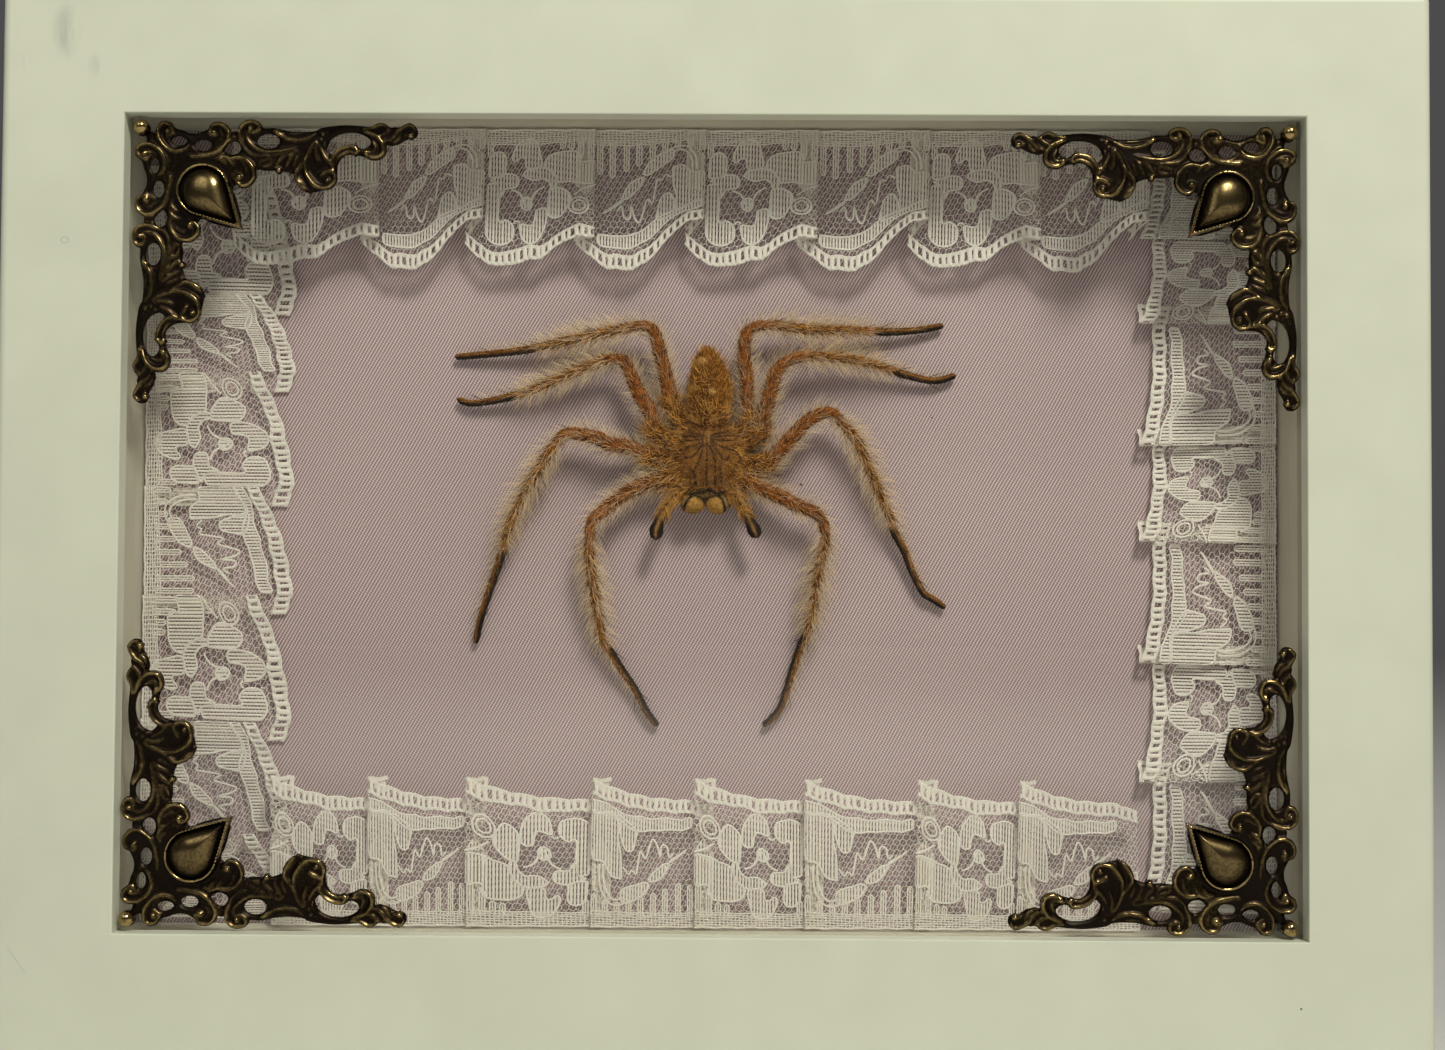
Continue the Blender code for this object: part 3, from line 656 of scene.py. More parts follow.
def fibreboard_material():
    """Hard brown fibreboard with long pressed fibres and darker specks."""
    material, tree, shader = start_material("Brown fibreboard", (0.34, 0.22, 0.13), 0.75)
    fibres = grain(tree, 900.0, 8.0, (0.18, 1.0, 1.0))
    crossed = product(tree, grain(tree, 800.0, 8.0, (1.0, 1.0, 0.22))["Value"], 0.5)
    mixed_fibres = math_node(tree, "MULTIPLY_ADD", fibres["Value"], 0.5, crossed)
    shade = ramp(tree, mixed_fibres, [
        (0.38, (0.15, 0.085, 0.045)), (0.5, (0.31, 0.20, 0.115)), (0.64, (0.46, 0.32, 0.20)),
    ])
    patches = product(tree, fibres["Patches"], 0.5)
    shade = blend_colours(tree, patches, shade, (0.27, 0.17, 0.10))
    finish_surface(tree, shader, shade, mixed_fibres, 0.5, 0.0001)
    return material


def zinc_material():
    """Zinc-plated steel with a faint spangle and rolling lines."""
    material, tree, shader = start_material("Zinc plated steel", (0.6, 0.6, 0.58), 0.36, 1.0)
    spangle = add_node(
        tree, "ShaderNodeTexVoronoi", {"Vector": object_place(tree), "Scale": 900.0},
    )
    shade = blend_colours(tree, 0.86, spangle.outputs["Color"], (0.6, 0.6, 0.575))
    lines = grain(tree, 3000.0, 2.0, (0.06, 1.0, 1.0))["Value"]
    rough = ranged(tree, lines, 0.0, 1.0, 0.22, 0.5)
    finish_surface(tree, shader, shade, lines, 0.1, 0.00004, roughness=rough)
    return material


def satin_material(colour, pitch, float_length, angle):
    """Pink satin with twill lines, a soft sheen, painted glints on its floats and a few specks of
    dust.
    """
    material, tree, shader = start_material(
        "Pink satin", colour, 0.42, specular_ior_level=0.55, sheen_weight=0.1,
        sheen_roughness=0.35, sheen_tint=(1.0, 0.86, 0.84, 1.0),
    )
    values = {"Pitch": pitch, "Float Length": float_length, "Angle": angle}
    twill = use_group(tree, twill_group(), values)["Height"]
    folds = noise(tree, object_place(tree), 16.0, 2.0)
    base = ramp(tree, folds, [(0.3, tinted(colour, 0.93)), (0.7, tinted(colour, 1.07))])
    # Painted glints: along each twill float the colour rises to twice as bright, standing in for
    # the sheen of the floats
    threads = ranged(tree, twill, 0.0, 1.0, 0.36, 2.0)
    fibres = ranged(tree, grain(tree, 4200.0, 2.0)["Value"], 0.0, 1.0, 0.84, 1.16)
    shade = toned(tree, base, product(tree, threads, fibres))
    for across, up, size in ((13.4, 6.6, 0.28), (33.4, 17.0, 0.2), (-52.0, -22.0, 0.12)):
        speck = mark(tree, across, up, size, 0.8 * size, depth=SATIN_FRONT)["Mask"]
        shade = blend_colours(tree, speck, shade, (0.04, 0.03, 0.03))
    rough = ranged(tree, twill, 0.0, 1.0, 0.5, 0.34)
    finish_surface(tree, shader, shade, twill, 0.55, 0.00006, roughness=rough)
    return material


def bronze_material(dark, bright):
    """Antique bronze plating, dark in the hollows and rubbed bright on the high spots."""
    material, tree, shader = start_material("Antique bronze", bright, 0.35, 1.0)
    speckle = grain(tree, 2200.0, 4.0)
    uneven = math_node(tree, "MULTIPLY_ADD", speckle["Value"], 0.5, -0.25)
    patches = math_node(tree, "MULTIPLY_ADD", speckle["Patches"], 0.5, -0.25)
    worn = math_node(tree, "ADD", stored(tree, "wear"), math_node(tree, "ADD", uneven, patches))
    middle = tuple(0.7 * a + 0.15 * b for a, b in zip(dark, bright))
    shade = ramp(tree, worn, [
        (0.34, dark), (0.55, middle), (0.8, tinted(bright, 0.55)), (1.0, bright),
    ])
    finish_surface(
        tree, shader, shade, speckle["Value"], 0.22, 0.00005,
        roughness=ranged(tree, worn, 0.2, 0.9, 0.42, 0.17),
        metallic=ranged(tree, worn, 0.15, 0.55, 0.75, 1.0),
    )
    return material


def lace_material(colour):
    """White cotton and nylon thread with a fine twist."""
    material, tree, shader = start_material(
        "White lace thread", colour, 0.7, sheen_weight=0.3, subsurface_weight=0.25,
        subsurface_radius=(0.0006, 0.0005, 0.0005), subsurface_scale=1.0,
    )
    twist = grain(tree, 5200.0, 2.0)["Value"]
    shade = ramp(tree, twist, [(0.3, tinted(colour, 0.82)), (0.65, colour)])
    finish_surface(tree, shader, shade, twist, 0.4, 0.00005)
    return material


def cuticle_material():
    """Dry spider cuticle, coloured by part, with fine wrinkles, streaks and glossy eyes."""
    material, tree, shader = start_material(
        "Spider cuticle", (0.36, 0.2, 0.08), 0.6, specular_ior_level=0.06,
    )
    gloss = stored(tree, "gloss")
    mottled = grain(tree, 2600.0, 4.0)
    streaks = ranged(tree, mottled["Value"], 0.3, 0.7, 0.45, 1.45)
    patches = ranged(tree, mottled["Patches"], 0.3, 0.7, 0.8, 1.2)
    shade = toned(tree, stored(tree, "tint", "Color"), product(tree, streaks, patches))
    finish_surface(
        tree, shader, shade, mottled["Value"], 0.5, 0.00008,
        roughness=ranged(tree, gloss, 0.0, 1.0, 0.58, 0.12), coat_weight=product(tree, gloss, 0.6),
    )
    return material


def bristle_material(name, tips, dark, roughness=0.5, skin_share=0.45):
    """Spider hair: tinted as its skin at the root, paler to the tip, the darker root partly painted
    shade within the coat, each hair a little apart.
    """
    material, tree, shader = start_material(name, tips, roughness, specular_ior_level=0.04)
    # Painted shade: the share of tip colour grows along each hair, so roots stay dark as if shaded
    # by the coat
    paler = math_node(tree, "MULTIPLY_ADD", stored(tree, "reach"), 0.3, stored(tree, "shade"))
    share = math_node(tree, "MULTIPLY_ADD", grain(tree, 900.0, 1.0)["Value"], 0.2, paler)
    span = ranged(tree, share, skin_share, skin_share + 0.55)
    colour = blend_colours(tree, span, stored(tree, "tint", "Color"), tips)
    finish_surface(tree, shader, blend_colours(tree, stored(tree, "darkness"), colour, dark))
    return material


def studio_material(name, colour):
    """Plain pale studio paper."""
    material, tree, shader = start_material(name, colour, 0.9)
    patches = grain(tree, 600.0, 3.0)["Patches"]
    shade = ramp(tree, patches, [(0.3, tinted(colour, 0.97)), (0.7, colour)])
    finish_surface(tree, shader, shade)
    return material


# Pieces of the stage

CAMERA_PLACE = Vector((0.0046, -0.316, 0.0674))
CAMERA_YAW = math.radians(0.569)
CAMERA_PITCH = math.radians(1.936)
CAMERA_ROLL = math.radians(-0.344)
CAMERA_LENS = 51.75
LAMP_PLACE = (0.29, -0.71, 0.86)
LAMP_COLOUR = (1.0, 0.975, 0.86)
SIDE_PLACE = (-0.4, -0.75, 0.7)
SIDE_COLOUR = (1.0, 0.985, 0.9)
PAPER_COLOUR = (0.78, 0.77, 0.76)
FLOOR_RADIUS = 2.5


def build_camera():
    """The camera that sees the object as the photograph does."""
    data = bpy.data.cameras.new("camera")
    data.sensor_fit = "HORIZONTAL"
    data.sensor_width = 36.0
    data.lens = CAMERA_LENS
    data.clip_start = 0.01
    camera = scene_item("camera", data)
    turn = Matrix.Rotation(CAMERA_YAW, 4, "Z") @ Matrix.Rotation(CAMERA_PITCH, 4, "X")
    turn = turn @ Matrix.Rotation(CAMERA_ROLL, 4, "Y")
    level = Matrix(((1, 0, 0, 0), (0, 0, -1, 0), (0, 1, 0, 0), (0, 0, 0, 1)))
    camera.matrix_world = Matrix.Translation(CAMERA_PLACE) @ turn @ level
    bpy.context.scene.camera = camera


def build_light(name, place, size, power, colour):
    """A soft square light that faces the window."""
    data = bpy.data.lights.new(name, "AREA")
    data.shape = "SQUARE"
    data.size = size
    data.energy = power
    data.color = colour
    light = scene_item(name, data)
    light.location = place
    aim = Vector((0.0, 0.0, WINDOW_UP * MM)) - Vector(place)
    light.rotation_euler = aim.to_track_quat("-Z", "Y").to_euler()


def build_floor(material):
    """A plain pale round floor."""
    bm = bmesh.new()
    bmesh.ops.create_circle(bm, cap_ends=True, cap_tris=False, segments=96, radius=FLOOR_RADIUS)
    mesh = bpy.data.meshes.new("floor")
    bm.to_mesh(mesh)
    bm.free()
    mesh.materials.append(material)
    scene_item("floor", mesh)


def set_surroundings(colour, strength):
    """A plain pale surround that fills the shadows softly."""
    scene = bpy.context.scene
    world = bpy.data.worlds.new("Pale surround")
    world.use_nodes = True
    background = world.node_tree.nodes["Background"]
    background.inputs["Color"].default_value = (*colour, 1.0)
    background.inputs["Strength"].default_value = strength
    scene.world = world
    scene.view_settings.view_transform = "Standard"
    scene.view_settings.look = "None"
    scene.view_settings.exposure = 0.0
    scene.view_settings.gamma = 1.0


# The box frame and the layers behind it

FACE_WIDTH = 18.2
LIP_DEPTH = 3.4
RABBET = 3.2
OUTER_EDGE_RADIUS = 1.4
SIGHT_EDGE_RADIUS = 0.3
REAR_EDGE_CHAMFER = 0.5
OUTER_CORNER_RADIUS = 1.2
# Distance of the extra loops that keep the flats flat beside each softened edge
HOLDING_STEP = 0.08
# Vertices along and up the satin, its thickness, how far it stops short of its solid, how high
# its waves rise, and the width of the calm band along its edges
SATIN_GRID = (120, 84)
SATIN_THICKNESS = 0.3
SATIN_MARGIN = 0.1
SATIN_WAVE = 0.1
SATIN_CALM = 12.0


def arc_points(centre, radius, start, end, steps):
    """Points on an arc, with angles in degrees."""
    angles = np.radians(np.linspace(start, end, steps + 1))
    across = centre[0] + radius * np.cos(angles)
    return list(zip(across, centre[1] + radius * np.sin(angles)))


def frame_outline(outset, steps):
    """A rectangle about the window, grown by an outset, with softened outer corners."""
    half_width = FRAME_WIDTH / 2 - FACE_WIDTH + outset
    half_height = FRAME_HEIGHT / 2 - FACE_WIDTH + outset
    radius = max(0.0, outset - (FACE_WIDTH - OUTER_CORNER_RADIUS))
    points = []
    for quadrant, (side_x, side_z) in enumerate(((1, 1), (-1, 1), (-1, -1), (1, -1))):
        centre = (side_x * (half_width - radius), side_z * (half_height - radius))
        points += arc_points(centre, radius, 90 * quadrant, 90 * quadrant + 90, steps)
    return np.array(points)


def box_frame_mesh(steps):
    """The white moulding in one piece, with every edge softened."""
    outer = FACE_WIDTH
    sight = SIGHT_EDGE_RADIUS
    profile = [(0.0, LIP_DEPTH), (0.0, sight + HOLDING_STEP)]
    profile += arc_points((sight, sight), sight, 180, 270, steps)
    profile += [(sight + HOLDING_STEP, 0.0), (outer - OUTER_EDGE_RADIUS - HOLDING_STEP, 0.0)]
    centre = (outer - OUTER_EDGE_RADIUS, OUTER_EDGE_RADIUS)
    profile += arc_points(centre, OUTER_EDGE_RADIUS, 270, 360, steps)
    profile += [
        (outer, OUTER_EDGE_RADIUS + HOLDING_STEP), (outer, FRAME_DEPTH - REAR_EDGE_CHAMFER),
        (outer - REAR_EDGE_CHAMFER, FRAME_DEPTH), (RABBET, FRAME_DEPTH), (RABBET, LIP_DEPTH),
    ]
    rings = []
    for outset, depth in profile:
        outline = frame_outline(outset, steps)
        rings.append(world_points(outline[:, 0], outline[:, 1], depth))
    sides = len(rings[0])
    quads = ring_quads(len(rings), sides, close_path=True)
    mesh = new_mesh("box_frame", np.concatenate(rings), [quads])
    bm = bmesh.new()
    bm.from_mesh(mesh)
    bmesh.ops.remove_doubles(bm, verts=bm.verts, dist=0.000002)
    bmesh.ops.dissolve_degenerate(bm, edges=bm.edges, dist=0.000001)
    bmesh.ops.recalc_face_normals(bm, faces=bm.faces)
    bm.to_mesh(mesh)
    bm.free()
    return smoothed(mesh, 32)


def finish_nodes(material, *nodes):
    """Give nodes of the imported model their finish."""
    for node in nodes:
        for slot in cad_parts[node].material_slots:
            slot.material = material


def satin_mesh():
    """Cloth stretched over its board, with the slight waves of a hand-pulled piece."""
    columns, rows = SATIN_GRID
    half_width = SATIN_WIDTH / MM / 2 - SATIN_MARGIN
    half_height = SATIN_HEIGHT / MM / 2 - SATIN_MARGIN
    across, up = np.meshgrid(
        np.linspace(-half_width, half_width, columns), np.linspace(-half_height, half_height, rows),
    )
    wave = 0.5 + 0.28 * np.sin(across * 0.052 + up * 0.021 + 0.6)
    wave += 0.22 * np.sin(across * 0.031 - up * 0.083 + 2.1)
    calm = eased(half_width - abs(across), 0.0, SATIN_CALM)
    calm = calm * eased(half_height - abs(up), 0.0, SATIN_CALM)
    front = SATIN_FRONT + 0.02 + SATIN_WAVE * wave * calm
    sheets = [world_points(across, up, front + depth) for depth in (0.0, SATIN_THICKNESS)]
    count = rows * columns
    quads = ring_quads(rows, columns, close_rings=False)
    index = np.arange(count).reshape(rows, columns)
    rim = np.concatenate([index[0], index[1:, -1], index[-1, -2::-1], index[-2:0:-1, 0]])
    after = np.roll(rim, -1)
    walls = np.stack([rim + count, after + count, after, rim], axis=1)
    mesh = new_mesh("satin_sheet", np.concatenate(sheets), [quads, quads[:, ::-1] + count, walls])
    return smoothed(mesh, 50)


# The bronze filigree corners

# Half of the filigree's web, in millimetres along and across one arm from the corner ball
WEB_EDGE = route(4, 1, 20, 7, 23, -4, 31, -10, 41, -10, 48, -1, 60, 3, 70, 7, 83, 7, 96, 1, 102,
    -6, 112, -8, 124, -4, 130, 6, 140, 7, 147, 0, 152, -7, 160, -10, 171, -6, 178, -1, 195, -1,
    222, 4, 248, 4, 270, 0, 290, -3, 332, -3, 354, -9, 370, -1, 388, -7, 399, -6, 406, 1, 404, 12,
    391, 15, 375, 23, 359, 20, 358, 35, 348, 44, 334, 43, 318, 39, 300, 39, 289, 52, 287, 73, 280,
    86, 262, 92, 245, 94, 234, 86, 225, 69, 206, 62, 182, 62, 169, 61, 164, 78, 150, 86, 139, 83,
    134, 90, 140, 105, 147, 131)
WEB_CORNER = (14.7, 14.7)
# Oval openings in one arm: centre along, centre across, half length, half width
WEB_OVALS = [
    (5.5, 1.8, 1.2, 0.72), (9.0, 2.5, 1.25, 0.82), (13.3, 2.85, 1.3, 0.98), (18.6, 1.85, 1.65, 1.1),
]
WEB_CRESCENT = route(272, 29, 277, 17, 290, 8, 309, 5, 324, 8, 335, 15, 336, 23, 326, 29, 314, 26,
    302, 24, 290, 28, 280, 37)


def ridge(start, middle, end, top, *tenths):
    """A raised ridge: three radii and its height in hundredths, its path in tenths."""
    return (start / 100, middle / 100, end / 100), top / 100, route(*tenths)


# Raised ridges of one arm
FILIGREE_RIDGES = [
    # scrolls of the edge, with their spirals and the openings between them
    ridge(26, 30, 16, 115, 42, -5, 34, -9, 27, -7, 23, 1, 24, 12, 29, 22, 37, 30, 48, 34, 58, 33,
        65, 30, 69, 25),
    ridge(20, 20, 14, 110, 42, -5, 46, 0, 46, 7, 42, 11, 36, 10, 34, 6),
    ridge(15, 15, 10, 90, 34, 11, 38, 18, 44, 24, 49, 25),
    ridge(14, 14, 14, 80, 46, 7, 53, 9, 62, 12, 67, 16),
    ridge(16, 16, 16, 85, 67, 14, 71, 19, 69, 25),
    ridge(16, 16, 16, 85, 71, 18, 78, 14, 87, 11, 97, 8),
    ridge(15, 15, 15, 85, 75, 28, 81, 34, 91, 35, 102, 32, 110, 25),
    ridge(24, 30, 14, 115, 100, -1, 103, -6, 112, -8, 121, -5, 127, 2, 128, 12, 124, 22, 116, 31,
        104, 38, 91, 41, 80, 42, 69, 42),
    ridge(20, 20, 14, 110, 100, -1, 99, 6, 103, 10, 109, 10, 112, 7),
    ridge(14, 15, 10, 90, 117, 1, 118, 11, 114, 21, 110, 28),
    ridge(16, 16, 16, 85, 128, 7, 137, 5, 144, 7),
    ridge(14, 14, 14, 80, 128, 21, 133, 18, 141, 18, 146, 25),
    ridge(24, 30, 18, 115, 170, 3, 174, -3, 169, -9, 159, -11, 150, -8, 144, 0, 144, 11, 147, 21,
        150, 30),
    ridge(20, 18, 14, 110, 170, 3, 164, 6, 157, 3),
    ridge(18, 22, 12, 110, 155, 5, 154, 14, 160, 23, 170, 30, 183, 34, 199, 34, 214, 31, 224, 29),
    ridge(20, 20, 14, 100, 150, 30, 161, 39, 176, 41, 193, 40, 211, 36, 228, 28),
    ridge(14, 14, 14, 80, 174, 3, 185, 1, 198, 3),
    # long leaf and top rail
    ridge(22, 24, 10, 115, 196, 3, 202, 7, 212, 14, 225, 17, 240, 16, 251, 12, 258, 7),
    ridge(16, 18, 10, 95, 198, 1, 208, 4, 222, 7, 240, 7, 258, 6),
    ridge(20, 22, 16, 110, 195, 6, 200, 10, 206, 11),
    ridge(20, 18, 20, 80, 256, 6, 263, 1, 278, -2, 298, -4, 319, -3, 337, -1),
    ridge(15, 15, 15, 85, 274, 11, 272, 20, 271, 27),
    # hooks of the end
    ridge(22, 42, 30, 120, 328, 6, 339, 7, 348, 13, 355, 23, 356, 34, 350, 41, 339, 43, 330, 39),
    ridge(16, 20, 16, 110, 337, 16, 343, 25, 344, 32, 339, 36, 331, 32, 327, 30),
    ridge(26, 26, 20, 115, 316, 27, 309, 25, 295, 28, 285, 35, 280, 45, 280, 53, 283, 58),
    ridge(18, 20, 14, 105, 315, 39, 307, 35, 297, 38, 289, 45, 286, 54),
    ridge(18, 20, 18, 120, 314, 25, 317, 33, 315, 39),
    ridge(15, 15, 15, 90, 316, 33, 323, 32, 328, 30),
    # strands of the tip
    ridge(20, 25, 14, 110, 326, 1, 339, -2, 349, -7, 358, -6, 365, 0),
    ridge(16, 22, 14, 105, 333, 8, 345, 11, 357, 8, 365, 1, 374, -2),
    ridge(16, 22, 20, 115, 355, 17, 363, 18, 372, 11, 377, 3, 386, -4, 395, -7, 402, -2, 403, 4),
    ridge(14, 20, 14, 100, 358, 21, 368, 23, 377, 18, 381, 10, 384, 3),
    # leaves and curl beside the teardrop
    ridge(16, 22, 14, 100, 108, 46, 115, 45, 121, 49, 126, 55),
    ridge(16, 22, 14, 105, 116, 41, 125, 43, 132, 49, 136, 57),
    ridge(24, 28, 20, 115, 133, 44, 144, 43, 155, 47, 164, 58, 166, 71, 159, 82, 148, 86, 140, 80,
        139, 72),
    ridge(12, 15, 12, 95, 141, 48, 151, 53, 154, 63, 152, 72),
    # lobes and hanging leaf
    ridge(18, 18, 18, 100, 174, 58, 172, 52, 181, 47, 191, 45, 190, 52, 182, 57, 174, 58),
    ridge(20, 22, 14, 105, 196, 58, 201, 49, 210, 41, 218, 39),
    ridge(20, 22, 14, 105, 213, 56, 217, 46, 224, 36, 229, 33),
    ridge(16, 18, 12, 100, 222, 59, 227, 48, 231, 36),
    ridge(20, 30, 12, 115, 241, 44, 232, 58, 227, 67, 229, 77, 236, 88, 249, 95),
    ridge(12, 16, 12, 100, 234, 71, 236, 80, 242, 87),
    # hanging curl and its stems
    ridge(20, 26, 24, 120, 256, 19, 249, 28, 243, 43, 241, 58, 244, 71, 253, 83, 266, 88, 278, 86,
        285, 78, 285, 68, 279, 62, 270, 65, 264, 69),
    ridge(14, 16, 12, 100, 246, 66, 252, 76, 261, 83),
    ridge(20, 20, 12, 110, 259, 22, 256, 32, 258, 43, 262, 50),
    ridge(16, 20, 16, 105, 263, 28, 269, 41, 279, 53, 285, 63),
]
# Small knobs: place along and across one arm, radius and height
FILIGREE_KNOBS = [
    (3.79, 0.35, 0.42, 1.25), (10.64, 0.56, 0.38, 1.25), (15.98, -0.17, 0.42, 1.25),
    (26.68, 0.85, 0.3, 1.0), (27.44, 0.62, 0.25, 0.95), (26.39, 1.67, 0.28, 1.0),
    (26.91, 2.39, 0.25, 0.95), (27.35, 1.37, 0.22, 0.9), (33.04, 3.59, 0.42, 1.25),
    (39.63, 1.08, 0.5, 1.15), (38.81, 1.02, 0.24, 1.0), (14.43, 7.21, 0.42, 1.2),
    (20.21, 6.21, 0.5, 1.05), (27.38, 7.73, 0.36, 1.15),
]
# Reach of the relief's grid along one arm, and the spacing of the spots along a ridge
RELIEF_START, RELIEF_END = -1.6, 41.8
RIDGE_SPACING = 0.09
BALL_RADIUS = 1.17
BALL_CENTRE_HEIGHT = 1.1
TEARDROP_CENTRE = 9.2
TEARDROP_RADIUS = 3.95
TEARDROP_TIP = 14.9
TEARDROP_RIM_HEIGHT = 1.7
TEARDROP_DOME_HEIGHT = 2.9
TEARDROP_DOME_BASE = 1.25
TEARDROP_MOAT_HEIGHT = 0.95
# The dome's edge and the rim's inner and outer edge, as shares of the teardrop's outline
DOME_EDGE, RIM_INNER, RIM_OUTER = 0.79, 0.84, 1.02
CELL_CORNERS = ((0, 0), (1, 0), (1, 1), (0, 1))
# Each corner: ball centre across and up from the window's centre, and its turn in degrees
CORNER_PLACES = {
    "corner_top_left": (-84.2, 57.9, 0.0),
    "corner_top_right": (84.2, 57.6, 89.0),
    "corner_bottom_right": (83.9, -58.0, 180.4),
    "corner_bottom_left": (-84.6, -57.8, 270.3),
}


def teardrop_share(along, across):
    """How far each point lies from the teardrop's middle: 1 is its outline."""
    tip = (TEARDROP_TIP - TEARDROP_CENTRE) * math.sqrt(2)
    radius = TEARDROP_RADIUS
    middle = (tip - radius) * 0.3
    x = (along + across - 2 * TEARDROP_CENTRE) / math.sqrt(2) - middle
    y = np.abs(along - across) / math.sqrt(2)
    slack = radius ** 2 - middle ** 2
    dot = -middle * x
    round_share = (-dot + np.sqrt(dot ** 2 + slack * (x ** 2 + y ** 2))) / slack
    straight_x = radius / tip
    straight_y = math.sqrt(1 - straight_x ** 2)
    straight_share = (straight_x * x + straight_y * y) / (radius - straight_x * middle)
    angle = np.arctan2(y, x + middle * round_share)
    return np.where(angle < math.acos(straight_x), straight_share, round_share)


def swapped(points):
    """The same points on the other arm."""
    return [(across, along, *rest) for along, across, *rest in points]


def raise_spots(height, reach, grid, step, spots):
    """Raise round spots in a height map and its reach: place, radius and height of each."""
    for along, across, radius, top in spots:
        near = tuple(
            slice(max(0, int((place - radius - grid[0]) / step)),
                  int((place + radius - grid[0]) / step) + 2)
            for place in (along, across)
        )
        u = grid[near[0], None] - along
        v = grid[None, near[1]] - across
        away = np.sqrt(u ** 2 + v ** 2) / radius
        dome = top * (0.35 + 0.65 * np.sqrt(np.clip(1 - away ** 2, 0, 1)))
        height[near] = np.maximum(height[near], np.where(away < 1, dome, 0))
        reach[near] = np.maximum(reach[near], radius * (1 - away))


def softened(values, cells):
    """Blur a map with three passes of a short box."""
    width = 2 * cells + 1
    for _ in range(6):
        sums = np.cumsum(np.pad(values, ((cells + 1, cells), (0, 0)), "edge"), axis=0)
        values = (sums[width:] - sums[:-width]).T / width
    return values


def ridge_spots(ridge):
    """Spots close together along one ridge, with its changing radius."""
    radii, top, path = ridge
    points = even_curve(path, RIDGE_SPACING)
    shares = np.linspace(0, 1, len(points))
    radii = np.interp(shares, [0, 0.5, 1], radii)
    rise = top * (0.8 + 0.2 * np.sin(math.pi * np.clip(shares, 0.02, 0.98)))
    return [(*point, radius, high) for point, radius, high in zip(points, radii, rise)]


def filigree_relief(step):
    """Height and reach of the casting over a grid: reach is above 0 inside its outline."""
    grid = np.arange(RELIEF_START, RELIEF_END, step)
    along, across = np.meshgrid(grid, grid, indexing="ij")
    half = even_curve(WEB_EDGE, 0.35)
    outline = np.concatenate([half, [WEB_CORNER], half[::-1, ::-1]])
    web = inside_outline(along, across, outline)
    edge = distance_to_path(along, across, outline, closed=True)
    reach = np.where(web, edge, -edge)
    angles = np.linspace(0, 2 * math.pi, 25)[:-1]
    openings = [
        np.stack([u + half_length * np.cos(angles), v + half_width * np.sin(angles)], axis=1)
        for u, v, half_length, half_width in WEB_OVALS
    ]
    openings.append(even_curve(WEB_CRESCENT, 0.3, closed=True))
    for opening in openings + [opening[:, ::-1] for opening in openings]:
        low = opening.min(axis=0) - 0.6
        high = opening.max(axis=0) + 0.6
        near = (along > low[0]) & (along < high[0]) & (across > low[1]) & (across < high[1])
        place = along[near], across[near]
        gap = distance_to_path(*place, opening, closed=True)
        gap = np.where(inside_outline(*place, opening), -gap, gap)
        reach[near] = np.minimum(reach[near], gap)
    height = 0.5 * np.sqrt(np.clip(reach / 0.3, 0.0, 1.0))
    for spots in [ridge_spots(ridge) for ridge in FILIGREE_RIDGES] + [FILIGREE_KNOBS]:
        raise_spots(height, reach, grid, step, spots)
        raise_spots(height, reach, grid, step, swapped(spots))
    height = softened(height, 1) if step > 0.12 else softened(softened(height, 1), 1)

    share = teardrop_share(along, across)
    rim = TEARDROP_RIM_HEIGHT - 0.55 * np.clip(np.abs(share - 0.93) / 0.07, 0, 1.4) ** 2
    dome = np.sqrt(np.clip(1 - (share / DOME_EDGE) ** 2, 0, 1))
    dome = TEARDROP_DOME_BASE + (TEARDROP_DOME_HEIGHT - TEARDROP_DOME_BASE) * dome
    moat = TEARDROP_MOAT_HEIGHT
    stone = np.select(
        [share < DOME_EDGE, share <= RIM_INNER, share <= RIM_OUTER],
        [dome, moat, np.maximum(rim, moat)],
    )
    height = np.maximum(np.where(share < 1.0, 0, height), stone)
    reach = np.maximum(reach, (RIM_OUTER - share) * 4)

    from_ball = np.hypot(along, across)
    ball = BALL_CENTRE_HEIGHT + np.sqrt(np.clip(BALL_RADIUS ** 2 - from_ball ** 2, 0, None))
    height = np.where(from_ball < BALL_RADIUS, np.maximum(height, ball), height)
    reach = np.maximum(reach, BALL_RADIUS - from_ball)
    return grid, height, reach


def contour_mesh_parts(grid, height, reach, floor_height):
    """Cut a height map along reach 0: upper points, their heights, polygons and rim pieces."""
    inside = reach > 0
    corner_index = np.full(reach.shape, -1)
    corner_index[inside] = np.arange(inside.sum())
    points = [(grid[i], grid[j]) for i, j in zip(*np.nonzero(inside))]
    heights = list(height[inside])
    crossings = {}

    def crossing(*pair):
        """The number of the point where the outline crosses between two grid corners."""
        first, second = key = tuple(sorted(pair))
        if key not in crossings:
            share = reach[first] / (reach[first] - reach[second])
            share = min(max(share, 0.08), 0.92)
            crossings[key] = len(points)
            points.append(tuple(
                grid[near] + (grid[far] - grid[near]) * share for near, far in zip(first, second)
            ))
            top = height[first] if inside[first] else height[second]
            heights.append(max(floor_height, 0.55 * top))
        return crossings[key]

    cells = len(grid) - 1
    total = sum(inside[i:i + cells, j:j + cells].astype(int) for i, j in CELL_CORNERS)
    full = np.nonzero(total == 4)
    quads = np.stack([corner_index[full[0] + i, full[1] + j] for i, j in CELL_CORNERS], axis=1)
    polygons = []
    rims = []
    for cell in zip(*np.nonzero((total > 0) & (total < 4))):
        corners = [(cell[0] + i, cell[1] + j) for i, j in CELL_CORNERS]
        states = [bool(inside[corner]) for corner in corners]
        for first in (k for k in range(4) if states[k] and not states[k - 1]):
            run = [first]
            while states[(run[-1] + 1) % 4]:
                run.append((run[-1] + 1) % 4)
            entry = crossing(corners[run[0] - 1], corners[run[0]])
            leave = crossing(corners[run[-1]], corners[(run[-1] + 1) % 4])
            polygons.append([entry] + [int(corner_index[corners[k]]) for k in run] + [leave])
            rims.append((leave, entry))
    return np.array(points), np.array(heights), quads, polygons, rims


